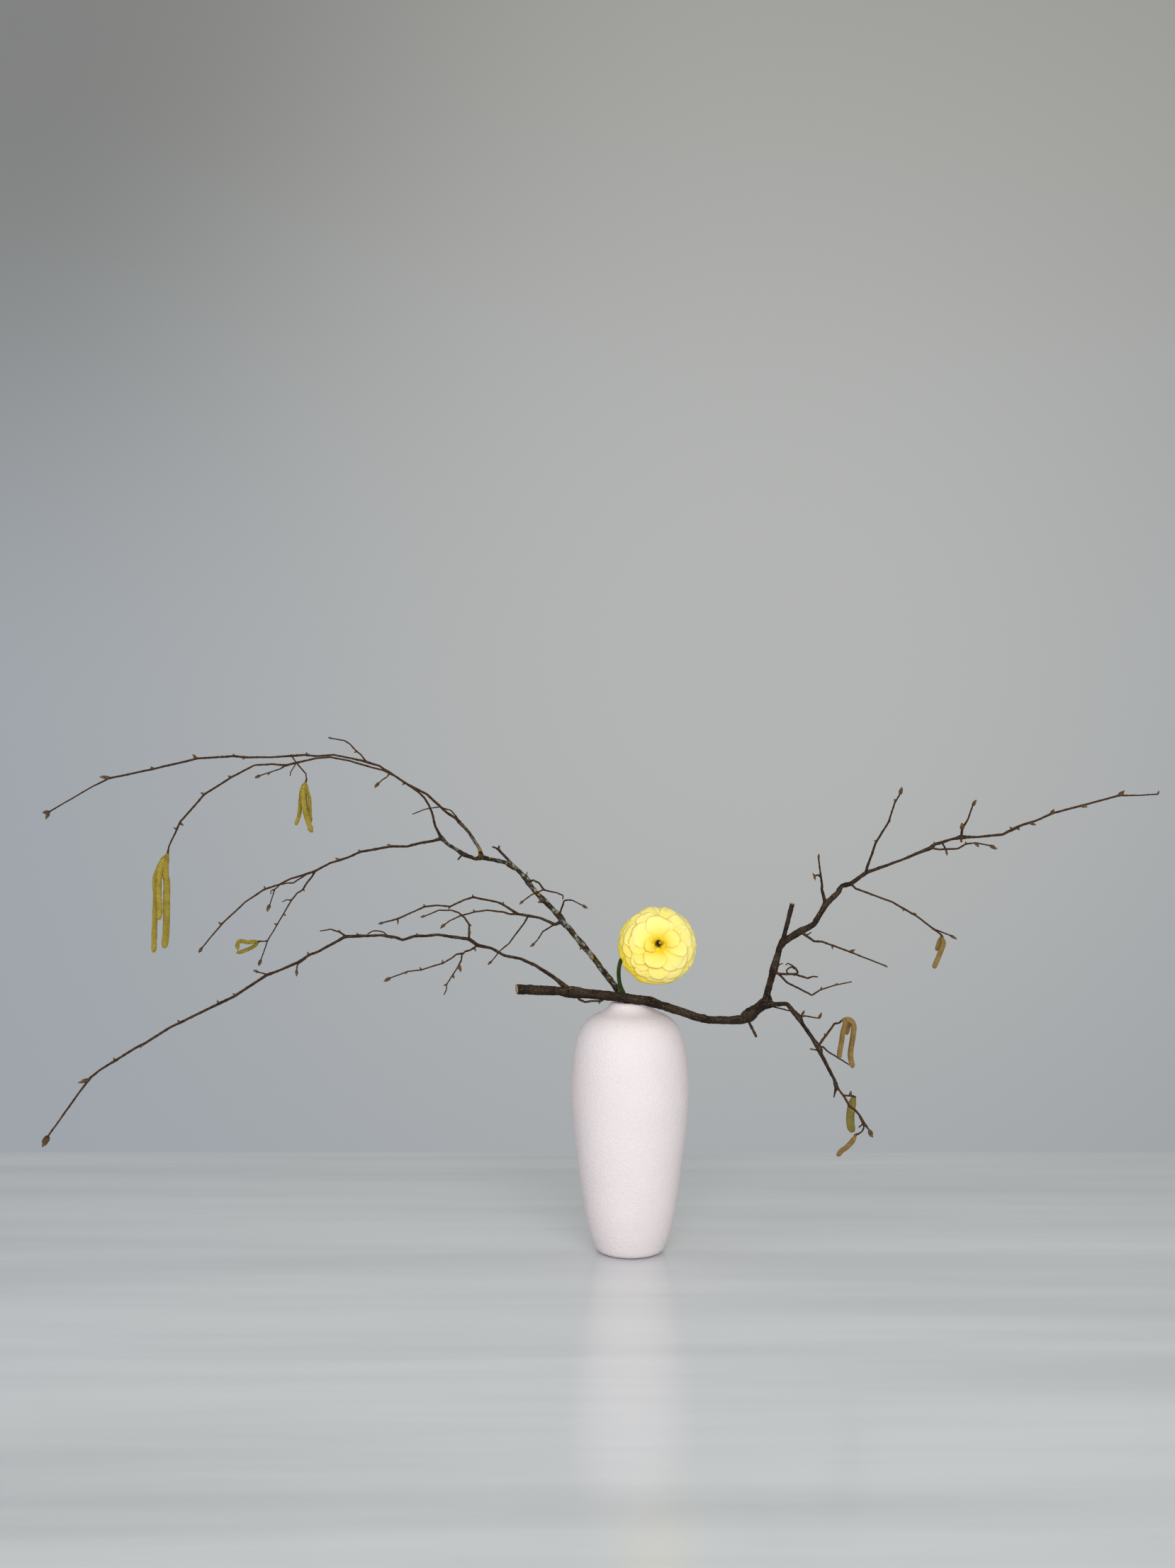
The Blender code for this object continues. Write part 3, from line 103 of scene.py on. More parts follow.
LOW_GROWTHS = [
    growth("low_trunk", None, [
        (-96.5, 14, 218.5, 4.1), (-81.5, 8, 218.5, 4.1), (-59.5, 2, 218.5, 3.6), (-35.5, -3.5, 217, 3.9),
        (-14, -9.5, 215.5, 3.9), (1.5, -14.5, 214.15, 3.7), (16, -18.5, 212.5, 3.7),
        (25.5, -21, 209.5, 3.4), (41, -23, 205, 3.3), (54.5, -25, 200.5, 3.3), (64.5, -27.5, 198.5, 3.2),
        (82, -30, 198.5, 3.2), (91.5, -32, 199.5, 3.5), (97, -33, 203, 4.3), (103.5, -34, 208.5, 3.7),
        (109, -35, 212.5, 3.5), (113, -36, 215.5, 3.4),
    ], [(0.53, 85, 4.5)]),
    growth("crown", None, [
        (112, -36, 215, 3.2), (112, -35, 221, 2.6), (123, -31, 259, 2.5), (126, -31, 264, 2.8),
        (130, -30, 266, 2.8), (140, -29, 272, 2.5), (149, -27, 276, 2.4), (152, -27, 278, 2.3),
        (162, -24, 294, 2.1), (172, -22, 303, 2.2), (176, -21, 309, 1.8), (184, -19, 311, 1.6),
        (197, -17, 320, 1.4), (227, -11, 330, 1), (253, -5, 340, 1.4), (257, -4, 343, 1.1),
        (271, -1, 347, 1), (280, 1, 349, 1.3), (295, 4, 349, 0.95), (318, 10, 351, 1.1), (336, 14, 359, 1),
        (347, 17, 362, 0.9), (365, 22, 369, 0.9), (428, 40, 384, 0.8), (446, 45, 384, 0.6),
        (465, 50, 385, 0.55),
    ], [
        (0.49, 115, 3), (0.55, 115, 3.5), (0.66, 140, 4), (0.67, -40, 4), (0.7, -25, 5.5), (0.75, 50, 6),
        (0.82, -10, 6), (0.91, 35, 7.5), (1, 75, 3.5),
    ]),
    growth("crown_stub", (1.7, 1.9), [(125.5, -30.5, 264), (132, -41, 296)]),
    growth("crown_up_1", (1.5, 0.6), [
        (162, -24, 294), (160, -26, 301), (158, -29, 307), (158, -30, 311), (157, -32, 316),
        (154, -38, 333),
    ], [(1, 90, 4)]),
    growth("crown_up_1b", (0.8, 0.7), [
        (156.5, -32.5, 317.5), (154, -34, 319), (151, -35, 318),
    ], [(0.94, 130, 3.5), (1, -75, 4)]),
    growth("crown_up_2", (1.2, 0.55), [
        (197, -16.5, 319.5), (197, -20, 324), (199, -24, 332), (202, -34, 346), (210, -46, 363),
        (213, -57, 379), (216, -63, 386),
    ], [(0.39, 145, 2.5), (0.65, 35, 2.5), (0.89, 105, 3.5), (1, 70, 6.5)]),
    growth("crown_up_3", (1.1, 0.6), [
        (280.5, 1, 349), (281, -1, 356), (285, -4, 364), (288, -9, 376),
    ], [(0.23, 95, 6, 1.9), (1, 55, 6.5)]),
    growth("crown_low_twig", (0.9, 0.55), [
        (252.5, -5.5, 340), (260, -9, 339), (274, -15, 340), (280, -19, 344), (287, -22, 345),
        (298, -27, 343),
    ], [(0.61, 105, 2.5), (0.76, -45, 5.5), (1, -30, 6.5)]),
    growth("crown_cross", (0.8, 0.7), [(263.5, -3, 345), (263, -21, 338)], [(1, -85, 4)]),
    growth("crown_down_spur", (0.9, 0.8), [(280.5, 1, 349), (280, -2, 345)]),
    growth("right_upper", (0.9, 0.7), [
        (183.5, -19.5, 311), (187, -24, 307), (190, -27, 306), (212, -50, 298), (228, -70, 288),
        (242, -89, 276),
    ], [(0.58, -95, 2.5), (0.68, -10, 4.5)]),
    growth("right_upper_tip", (0.65, 0.5), [(238.5, -84, 279), (254, -74, 273)], [(1, -30, 6.5, 1.2)]),
    growth("right_inner", (1, 0.55), [
        (140, -28.5, 272), (150, -40, 265), (156, -45, 265), (169, -59, 261), (178, -69, 258),
        (198, -90, 251),
    ], [(0.4, -90, 3.5), (0.61, 20, 5.5), (1, -25, 3.5)]),
    growth("inner_spur", (0.7, 0.4), [(143.5, -32.5, 269.5), (146, -34, 270), (148, -37, 272)]),
    growth("curl_a", (1.1, 0.5), [
        (117.5, -33.5, 239.5), (121, -38, 238), (133, -49, 239), (142, -59, 237), (146, -64, 239),
        (149, -67, 239),
    ]),
    growth("curl_a_loop", (0.8, 0.6), [
        (132.5, -49, 238.5), (135, -53, 241), (133, -56, 244), (129, -58, 246), (127, -58, 245),
        (125, -58, 243), (127, -57, 240),
    ]),
    growth("curl_a_hook", (0.6, 0.45), [
        (133, -56, 244.5), (130, -58, 247), (126, -60, 249), (124, -62, 248),
    ]),
    growth("curl_arc", (0.6, 0.4), [(119, -33, 244.5), (122, -30, 244), (124, -29, 245), (126, -27, 245)]),
    growth("curl_b", (0.9, 0.5), [
        (120.5, -37, 238.5), (129, -32, 230), (142, -25, 223), (151, -20, 218), (159, -16, 222),
        (172, -10, 225), (187, -3, 227),
    ], [(0.62, 75, 3), (0.8, 35, 3)]),
    growth("right_low", None, [
        (110.5, -35.5, 213.5, 3.2), (117, -39, 213, 1.7), (127, -45, 214, 1.75), (136, -52, 204, 1.8),
        (138, -55, 200, 1.5), (150, -67, 182, 1.6), (151, -70, 178, 1.5), (160, -83, 159, 1.2),
        (161, -86, 154, 1.5), (163, -88, 152, 0.65), (166, -90, 148, 0.7), (170, -96, 141, 1),
        (173, -98, 139, 0.9), (176, -101, 136, 0.85), (179, -105, 130, 0.9), (183, -109, 125, 0.55),
    ], [(1, -70, 6, 2)]),
    growth("right_low_companion", (0.7, 0.5), [
        (115, -38, 213.5), (118, -33, 210), (125, -30, 208), (129, -32, 207), (133, -37, 207),
    ]),
    growth("right_low_stub", (1.2, 0.5), [(161, -85.5, 155), (160, -80, 145)]),
    growth("right_low_bud_twig", (0.8, 0.5), [
        (136, -52, 204.5), (140, -56, 206), (150, -68, 206),
    ], [(1, 70, 5.5, 1.2)]),
    growth("right_low_bud_twig_b", (0.7, 0.6), [(136, -52, 204), (139, -49, 206)], [(1, 65, 4.5)]),
    growth("right_mid", (1, 0.75), [(149, -67, 183), (166, -45, 198), (170, -41, 198)], [(0.38, 110, 3)]),
    growth("right_mid_spur", (0.7, 0.5), [
        (149.5, -68, 181.5), (147, -71, 181), (144, -74, 182),
    ], [(1, 170, 3)]),
    growth("right_mid_low", (0.8, 0.6), [
        (149.5, -67.5, 182), (154, -62, 182), (159, -54, 177), (181, -24, 161),
    ]),
    growth("right_bottom", (0.7, 0.7), [(166, -90.5, 148.5), (173, -85, 147)], [(0.82, 80, 4.5)]),
    growth("right_tail", (0.6, 0.6), [
        (179, -105, 130), (180, -101, 125), (179, -99, 122), (177, -97, 120),
    ]),
    growth("right_tail_spur", (0.6, 0.6), [(179, -105, 130), (176, -108, 128)], [(1, -150, 2)]),
    growth("low_stub", (1.2, 1), [(96, -33, 202.5), (98, -34, 196), (103, -36, 186)]),
    growth("low_stub_dark", (2.2, 1.8), [(100, -33.5, 206), (104, -35, 203)]),
    growth("low_twiglet", (1, 0.8), [
        (-46, -1, 217.5), (-43, -2, 212), (-38, -4, 210), (-32, -5, 211), (-26, -6, 211), (-23, -7, 212),
    ], [(0.89, -100, 3)]),
    growth("shoot", None, [
        (-51.5, 0.5, 218, 3), (-53, 0, 221, 2.2), (-64, 0, 230, 1.6), (-79, -1, 240, 1.35),
        (-92, -1, 246, 1.2), (-106, -2, 249, 1.15), (-117, -2, 255, 1.2), (-129, -3, 258, 1.3),
        (-136, -4, 263, 1.3), (-162, -6, 267, 1.1), (-172, -6, 266, 1.1), (-181, -7, 266, 1.1),
        (-192, -8, 263, 1.1), (-197, -9, 265, 1.1), (-210, -10, 267, 1.05), (-239, -13, 266, 1.2),
        (-261, -16, 254, 1), (-269, -17, 251, 1), (-276, -19, 246, 1.15), (-292, -21, 239, 1),
        (-303, -23, 235, 1.1), (-329, -28, 218, 1.05), (-379, -38, 194, 0.95), (-398, -43, 182, 0.95),
        (-406, -45, 178, 0.95), (-433, -53, 161, 0.85), (-439, -55, 156, 0.95), (-447, -58, 145, 0.8),
        (-469, -70, 111, 0.7),
    ], [
        (0.29, 70, 3), (0.39, 120, 3.5), (0.48, 120, 3.5), (0.62, 140, 3), (0.65, 110, 4), (0.72, 140, 3.5),
        (0.79, -115, 3.5), (0.84, 120, 3.5), (0.89, -165, 9.5, 1.9), (1, -120, 10, 2.7),
    ]),
    growth("shoot_a", (0.8, 0.75), [
        (-129, -3, 257.5), (-135, -6, 254), (-139, -8, 253), (-141, -9, 251),
    ], [(0.23, -60, 4)]),
    growth("shoot_a1", (0.75, 0.5), [
        (-141.5, -9, 251.5), (-146, -10, 251), (-150, -12, 248), (-157, -14, 244), (-175, -20, 239),
        (-186, -23, 238), (-200, -27, 233),
    ], [(0.29, 85, 3.5), (0.58, 120, 3), (0.76, -135, 3), (1, -150, 6)]),
    growth("shoot_a2", (0.7, 0.45), [
        (-141.5, -9, 251.5), (-142, -10, 246), (-144, -11, 242), (-147, -12, 237), (-149, -13, 234),
        (-154, -15, 226), (-154, -16, 222), (-156, -17, 218),
    ], [(0.27, -70, 6), (0.52, -70, 4), (0.76, -160, 3.5)]),
    growth("shoot_b", (0.9, 0.55), [
        (-136, -3.5, 262.5), (-136, -2, 275), (-140, -1, 281), (-145, 0, 285), (-151, 1, 287),
        (-162, 2, 287), (-174, 4, 282),
    ], [(0.1, 35, 2.5), (0.23, -30, 3), (1, -165, 4.5)]),
    growth("shoot_c", (0.8, 0.5), [
        (-238.5, -13, 266.5), (-243, -16, 270), (-250, -21, 273), (-258, -25, 272),
    ], [(0.25, 120, 3)]),
    growth("shoot_loop", (0.6, 0.5), [
        (-203.5, -9.5, 266), (-208, -5, 269), (-213, -3, 270), (-217, -4, 270), (-221, -7, 268),
    ]),
    growth("shoot_d", (0.7, 0.55), [(-276, -18.5, 246), (-278, -20, 243), (-278, -23, 239)], [(1, -85, 5)]),
    growth("shoot_e", (0.7, 0.55), [(-302.5, -22.5, 235.5), (-311, -18, 237)], [(1, 155, 5)]),
]

HIGH_GROWTHS = [
    growth("high_trunk", None, [
        (-6.5, 7.8, 215.7, 2.4), (-10, 7, 219, 2.5), (-15, 8, 225, 2.5), (-19, 10, 230, 2.5),
        (-24, 11, 236, 2.4), (-29, 13, 243, 2.35), (-34, 14, 249, 2.3), (-40, 16, 256, 2.4),
        (-46, 17, 263, 2.3), (-51, 19, 269, 2.3), (-56, 20, 274, 2.3), (-60, 22, 280, 2.4),
        (-66, 24, 286, 2.1), (-73, 25, 293, 2.15), (-80, 26, 300, 2), (-85, 28, 306, 2),
        (-89, 30, 312, 2.1), (-93, 31, 316, 1.8), (-97, 32, 320, 1.8), (-102, 34, 323, 2.1),
        (-108, 35, 326, 1.7), (-118, 37, 328, 1.65), (-128, 38, 330, 1.9), (-134, 39, 329, 1.6),
        (-140, 41, 331, 1.6), (-145, 42, 333, 1.7), (-151, 43, 337, 1.5), (-158, 45, 341, 1.4),
        (-165, 46, 348, 1.5),
    ], [(0.25, -105, 5.5), (0.48, -160, 6.5)]),
    growth("arch", None, [
        (-128.5, 38, 330, 1.9), (-130, 40, 337, 1.5), (-140, 45, 352, 1.35), (-152, 50, 364, 1.2),
        (-160, 52, 369, 1.1), (-178, 57, 385, 1), (-196, 62, 394, 0.95), (-221, 67, 410, 0.9),
        (-234, 69, 414, 1), (-247, 71, 417, 0.85), (-263, 73, 420, 0.85), (-279, 75, 419, 0.85),
        (-289, 76, 420, 1), (-321, 79, 418, 0.85), (-343, 80, 418, 0.95), (-354, 80, 419, 0.95),
        (-386, 81, 417, 0.9), (-424, 81, 408, 0.9), (-465, 78, 399, 0.85), (-479, 77, 392, 0.65),
        (-517, 72, 369, 0.6),
    ], [
        (0.23, -145, 3.5), (0.45, 100, 3), (0.58, -125, 3), (0.6, 135, 3.5), (0.68, 125, 5.5),
        (0.77, 150, 4.5), (0.86, 170, 9, 1.7), (1, -175, 7), (1, -105, 7),
    ]),
    growth("arch_top_twig", (0.75, 0.55), [
        (-233.5, 69, 414.5), (-238, 71, 420), (-242, 73, 423), (-249, 76, 430), (-254, 77, 433),
        (-260, 79, 434), (-266, 81, 435),
    ], [(0.31, -155, 3), (1, 165, 4)]),
    growth("arch_bud_twig", (0.65, 0.5), [
        (-211, 65, 404), (-214, 61, 400), (-217, 58, 398), (-220, 55, 395),
    ], [(1, -130, 6)]),
    growth("arch_cross", (0.65, 0.45), [
        (-147.5, 48, 360), (-151, 43, 366), (-155, 38, 371), (-164, 32, 374), (-172, 29, 373),
        (-177, 27, 372), (-187, 26, 368),
    ]),
    growth("second", None, [
        (-164.5, 46, 347.5, 1.3), (-169, 43, 357, 1.05), (-172, 40, 370, 0.95), (-174, 39, 375, 0.9),
        (-178, 37, 382, 0.9), (-183, 35, 387, 0.85), (-190, 33, 392, 0.85), (-203, 30, 401, 0.85),
        (-213, 27, 406, 0.8), (-221, 26, 408, 0.8), (-241, 22, 414, 0.8), (-257, 19, 417, 0.8),
        (-269, 17, 416, 0.8), (-294, 14, 410, 0.95), (-306, 12, 411, 0.8), (-320, 10, 410, 0.75),
        (-339, 8, 400, 0.85), (-362, 6, 385, 0.85), (-382, 5, 362, 0.85), (-391, 4, 342, 0.65),
    ], [(0.57, -110, 3), (0.73, 160, 4), (0.82, 160, 4), (0.93, -35, 4), (0.95, 145, 3.5)]),
    growth("second_twiglet", (0.5, 0.4), [(-285, 15, 412.5), (-289, 9, 404), (-289, 7, 401)]),
    growth("second_bud_twig", (0.65, 0.5), [
        (-294, 13.5, 410), (-298, 10, 407), (-313, -2, 401),
    ], [(0.63, -125, 3), (1, -160, 5.5)]),
    growth("third", None, [
        (-163, 45.5, 346.5, 1.4), (-172, 48, 344, 1.2), (-184, 51, 342, 1.1), (-195, 54, 339, 1.05),
        (-209, 56, 339, 1.1), (-237, 60, 334, 1), (-248, 60, 329, 0.95), (-264, 60, 324, 0.9),
        (-277, 60, 317, 0.9), (-299, 58, 310, 0.8), (-309, 56, 305, 0.75), (-321, 54, 301, 0.85),
        (-337, 49, 290, 0.7), (-355, 41, 272, 0.75), (-370, 30, 252, 0.55),
    ], [(0.2, 150, 4.5), (0.32, 120, 3), (0.4, 155, 4.5), (0.69, 110, 3.5), (0.89, 140, 4), (1, -125, 6)]),
    growth("third_b2", (0.7, 0.5), [
        (-282.5, 59.5, 315.5), (-295, 51, 307), (-300, 48, 307), (-305, 44, 306), (-309, 41, 302),
        (-312, 34, 289),
    ], [(1, -110, 7)]),
    growth("third_b2_spur", (0.55, 0.4), [(-309, 41, 302), (-312, 40, 301), (-312, 39, 298)]),
    growth("third_b3", (0.85, 0.5), [
        (-277, 60, 317), (-280, 61, 312), (-285, 62, 306), (-289, 64, 300), (-294, 65, 297),
        (-299, 66, 291), (-307, 69, 278), (-322, 74, 254), (-329, 78, 236),
    ], [(0.21, -30, 3), (0.51, -35, 3), (0.63, 140, 3.5), (1, -115, 6.5)]),
    growth("third_b3_spur", (0.55, 0.4), [(-299, 66, 291), (-304, 68, 291), (-308, 70, 289)]),
    growth("curl_stalk", (0.6, 0.6), [(-322, 74, 254), (-324.5, 73.2, 253.5), (-327, 72.2, 253.6)]),
    growth("fourth", None, [
        (-57.5, 21, 276, 1.6), (-64, 24, 273, 1.2), (-77, 30, 278, 1.05), (-97, 37, 281, 1.1),
        (-110, 40, 289, 0.9), (-115, 41, 291, 0.85), (-136, 43, 295, 0.85), (-143, 43, 293, 0.8),
        (-156, 43, 287, 0.75), (-168, 42, 288, 0.75), (-178, 40, 287, 0.8), (-185, 38, 284, 0.7),
        (-201, 33, 277, 0.8), (-213, 29, 274, 0.55),
    ], [
        (0.35, 90, 3), (0.51, 110, 3), (0.64, -120, 3), (0.77, 115, 3), (0.92, -90, 5.5, 0.8), (1, -165, 5),
    ]),
    growth("fourth_low", (0.9, 0.55), [
        (-97.5, 36.5, 281), (-103, 34, 281), (-109, 32, 283), (-123, 26, 285), (-133, 22, 284),
        (-145, 17, 281), (-154, 13, 277), (-158, 11, 274),
    ], [(0.57, 120, 3), (1, -140, 5.5)]),
    growth("fourth_down", (0.8, 0.5), [
        (-87.5, 34, 279.5), (-91, 38, 273), (-100, 45, 261), (-105, 49, 254), (-113, 54, 247),
        (-121, 60, 237),
    ], [(1, -140, 4.5)]),
    growth("fourth_inner", (0.75, 0.5), [
        (-64.5, 24.5, 273), (-74, 13, 268), (-79, 4, 261), (-81, 1, 259),
    ], [(1, -140, 5)]),
    growth("high_right_a", (0.9, 0.55), [
        (-87, 29, 309.5), (-83, 26, 311), (-78, 23, 309), (-73, 19, 303), (-62, 12, 301), (-57, 9, 299),
        (-57, 7, 296),
    ]),
    growth("high_right_b", (0.8, 0.5), [
        (-60.5, 22, 280.5), (-56, 13, 294), (-53, 11, 295), (-49, 8, 295), (-40, 2, 291),
    ], [(1, -30, 5)]),
    growth("high_right_c", (0.7, 0.5), [
        (-73.5, 19, 303.5), (-84, 16, 299), (-91, 13, 294),
    ], [(1, -140, 5)]),
    growth("dead_stub", (1.3, 0.8), [
        (-101.5, 34, 323.5), (-105, 37, 328), (-112, 41, 335), (-114, 43, 337), (-113, 44, 340),
    ]),
    growth("dead_stub_b", (0.9, 0.8), [(-112.5, 42, 336), (-116, 43, 338), (-119, 44, 339)]),
    growth("stub_below", (0.9, 0.7), [(-145, 42, 333), (-149, 40, 328)]),
    growth("thorn_up", (0.7, 0.3), [(-89.5, 29.5, 312.5), (-88, 28, 318)]),
    growth("top_catkin_stalk", (0.7, 0.6), [
        (-301.5, 77, 420), (-296, 72, 413), (-286, 64, 403), (-285, 61, 399),
    ]),
]

CATKINS = {
    "left_long": [
        (3, [
            (-392.5, 4, 335), (-394, 3, 328), (-394, 2, 318.5), (-392.5, 1, 310), (-392.5, 0.5, 295.5),
            (-392.5, 0, 277.5), (-393, -0.5, 264.5), (-394, -1, 255.5),
        ]),
        (2.3, [
            (-394.5, 5.5, 333.5), (-400.5, 7.5, 323.5), (-404, 8, 314.5), (-404, 8.5, 300),
            (-404.5, 9, 286), (-405, 9, 274), (-405.5, 9.5, 261.5), (-406, 10, 250.5),
        ]),
        (2.4, [
            (-394, 1.5, 333), (-397.5, -1.5, 321.5), (-398.5, -1, 310.5), (-398.5, -1.5, 298.5),
            (-397.5, -2.5, 290), (-398, -3, 279.5),
        ]),
    ],
    "left_top": [
        (2.3, [
            (-285.5, 61, 396), (-287, 59.5, 390), (-287.5, 58, 382.5), (-286.5, 58, 375),
            (-285, 57.5, 367.5), (-282.5, 57.5, 360), (-279.5, 57, 351.5),
        ]),
        (1.7, [
            (-286, 61, 395.5), (-285, 62.5, 389), (-283, 64, 381.5), (-282.5, 64.5, 370.5), (-282, 65, 360),
        ]),
        (1.8, [
            (-286.5, 61, 395.5), (-289.5, 62.5, 387.5), (-291, 64, 377.5), (-292, 64, 366.5),
            (-295, 64, 357.5),
        ]),
        (1.6, [(-286, 61, 395.5), (-287.5, 66, 386.5), (-286.5, 67, 374), (-286, 68, 362)]),
    ],
    "left_curl": [
        (1.9, [
            (-330, 71.5, 253.5), (-334.5, 70.5, 253.5), (-339, 69.5, 253), (-342.5, 68.5, 254),
            (-346.5, 69, 253.5), (-348, 69.5, 250.5), (-348, 70.5, 246.5),
        ]),
        (1.8, [
            (-329.5, 71.5, 253), (-333.5, 72.5, 249.5), (-339, 74.5, 246.5), (-344, 75.5, 244.5),
            (-350, 75.5, 243),
        ]),
    ],
    "right_upper": [
        (1.9, [
            (244, -89.5, 273.5), (244.5, -91.5, 268.5), (243, -91.5, 264), (240.5, -92, 258),
            (236.5, -92.5, 249),
        ]),
        (1.7, [(243, -89.5, 273.5), (242.5, -86.5, 269.5), (240.5, -84.5, 262)]),
    ],
    "right_middle": [
        (2, [
            (172.5, -41, 200), (174.5, -42, 201), (175, -43, 197.5), (173.5, -43, 192), (172, -43.5, 183),
            (170.5, -43.5, 174.5), (170, -44, 169.5),
        ]),
        (2.15, [
            (172.5, -41, 200), (176, -41, 201), (180.5, -41, 199.5), (182.5, -40.5, 195.5),
            (182, -40, 187.5), (180.5, -39.5, 177.5), (180, -39, 170.5), (182, -39, 161),
        ]),
        (1.4, [
            (172.5, -41, 200), (176, -38, 199.5), (179, -37, 197.5), (179, -36, 193), (177.5, -35, 187.5),
        ]),
    ],
    "right_low": [
        (3.3, [
            (175, -85.5, 146.5), (174.5, -83, 142.5), (173.5, -80.5, 135.5), (173, -80, 127),
            (173.5, -80, 121.5), (175, -79.5, 117.5),
        ]),
    ],
    "right_tail": [
        (1.9, [
            (174.5, -97, 119), (172.5, -98, 115.5), (167, -98.5, 109.5), (163, -99.5, 107),
            (159.5, -100, 103),
        ]),
    ],
}

BUNCHES = {                 # bunch: the twig it hangs from and the finish of its scales
    "left_long": ("second", "open"), "left_top": ("top_catkin_stalk", "open"),
    "left_curl": ("curl_stalk", "open"), "right_upper": ("right_upper", "closed"),
    "right_middle": ("right_mid", "closed"), "right_low": ("right_bottom", "green"),
    "right_tail": ("right_tail", "closed"),
}


# ---------------------------------------------------------------- settings

COLOUR = {"subtype": "COLOR", "size": 3, "min": 0.0, "max": 1.0}


class VaseSettings(PropertyGroup):
    """Sizes and colour of the vase."""
    body_colour: FloatVectorProperty(
        name="Body colour", description="Colour of the ceramic", default=(0.775, 0.70, 0.708), **COLOUR)
    grain_size: FloatProperty(
        name="Grain size", description="Width of the leathery dimples", default=0.0013,
        min=0.0005, max=0.01, unit="LENGTH")
    grain_depth: FloatProperty(
        name="Grain depth", description="Height of the leathery dimples", default=0.00029,
        min=0.0, max=0.002, unit="LENGTH")
    sides: IntProperty(name="Sides", description="Facets round the vase", default=144, min=24, max=256)


class BranchSettings(PropertyGroup):
    """Bark and buds."""
    old_bark: FloatVectorProperty(
        name="Old bark", description="Colour of the thick wood", default=(0.016, 0.0105, 0.0068), **COLOUR)
    young_bark: FloatVectorProperty(
        name="Young bark", description="Colour of the thin shoots", default=(0.085, 0.036, 0.0115), **COLOUR)
    lichen: FloatVectorProperty(
        name="Lichen", description="Colour of the lichen crust", default=(0.25, 0.26, 0.215), **COLOUR)
    ruggedness: FloatProperty(
        name="Ruggedness", description="How far the bark's bumps stand out, as a share of the radius",
        default=0.11, min=0.0, max=0.3)


class CatkinSettings(PropertyGroup):
    """Scales of the catkins."""
    scale_length: FloatProperty(
        name="Scale length", description="Length of one scale", default=0.0019, min=0.0005, max=0.006,
        unit="LENGTH")
    scale_cover: FloatProperty(
        name="Scale cover", description="How many times over the scales cover the catkin",
        default=2.3, min=0.3, max=4.0)
    open_colour: FloatVectorProperty(
        name="Open catkins", description="Colour of the open catkins", default=(0.37, 0.275, 0.030), **COLOUR)
    closed_colour: FloatVectorProperty(
        name="Closed catkins", description="Colour of the closed catkins", default=(0.27, 0.165, 0.045),
        **COLOUR)


class BloomSettings(PropertyGroup):
    """Petals and centre of the bloom."""
    petal_colour: FloatVectorProperty(
        name="Petal colour", description="Colour of the petals' faces", default=(0.97, 0.80, 0.25), **COLOUR)
    # deep yellow of the deeper petals and the veins, also painted as shade at the petals' roots and rims
    deep_and_shade_colour: FloatVectorProperty(
        name="Fold colour", description="Colour deep between the petals", default=(0.92, 0.66, 0.010),
        **COLOUR)
    petal_thickness: FloatProperty(
        name="Petal thickness", description="Thickness of a petal", default=0.00032, min=0.0001,
        max=0.002, unit="LENGTH")
    stamens: IntProperty(name="Stamens", description="Number of stamens", default=16, min=0, max=80)


class StageSettings(PropertyGroup):
    """Floor, backdrop and light."""
    floor_colour: FloatVectorProperty(
        name="Floor colour", description="Colour of the table top", default=(0.715, 0.737, 0.743), **COLOUR)
    room_colour: FloatVectorProperty(
        name="Room colour", description="Colour of the light that fills the room",
        default=(0.46, 0.47, 0.475), **COLOUR)
    light_power: FloatProperty(
        name="Light power", description="Power of the main soft light", default=39.5, min=0.0, max=500.0,
        unit="POWER")


# ---------------------------------------------------------------- small shape tools

def headings(points):
    """Unit direction of travel at each point of a route."""
    ways = [(b - a).normalized() for a, b in zip(points, points[1:])]
    middle = [(a + b).normalized() for a, b in zip(ways, ways[1:])]
    return [ways[0], *middle, ways[-1]]


def square_to(direction):
    """Two unit vectors square to a direction and to each other."""
    helper = ALONG_Y if abs(direction.y) < 0.9 else ALONG_X
    across = direction.cross(helper).normalized()
    return across, direction.cross(across).normalized()


def carried_axes(directions):
    """Pairs of cross axes carried along a route without twisting."""
    across, upright = square_to(directions[0])
    pairs = [(across, upright)]
    for direction in directions[1:]:
        across = (across - direction * across.dot(direction)).normalized()
        pairs.append((across, direction.cross(across)))
    return pairs


def around(sides):
    """Angles round a full turn."""
    return [2 * math.pi * k / sides for k in range(sides)]


def spoke(turn, across, upright):
    """The unit vector at a turn between two cross axes."""
    return math.cos(turn) * across + math.sin(turn) * upright


def circle(centre, radius, sides, across=ALONG_X, upright=ALONG_Y):
    """Points round a circle."""
    return [centre + radius * spoke(turn, across, upright) for turn in around(sides)]


def drawn(points, values, pitch, slack=1.0):
    """A smooth curve through the points at about an even pitch, with a value carried along it.

    A slack under 1 keeps the stretches straighter and the bends tighter.  Returns a list of
    (point, value, distance from the start)."""
    ways = headings(points)
    made = []
    travelled = 0.0
    for i, (a, b) in enumerate(zip(points, points[1:])):
        length = (b - a).length
        steps = max(1, round(length / pitch))
        for k in range(steps):
            t = k / steps
            s = 1 - t
            bend = (ways[i] * t * s * s - ways[i + 1] * t * t * s) * length * slack
            spot = a * (1 + 2 * t) * s * s + b * t * t * (3 - 2 * t) + bend
            made.append((spot, values[i] * s + values[i + 1] * t, travelled + length * t))
        travelled += length
    made.append((points[-1], values[-1], travelled))
    return made


def along(points, share):
    """The point at a share of a route's length."""
    lengths = [(b - a).length for a, b in zip(points, points[1:])]
    left = share * sum(lengths)
    for a, b, length in zip(points, points[1:], lengths):
        if left <= length:
            return a.lerp(b, left / length)
        left -= length
    return points[-1]


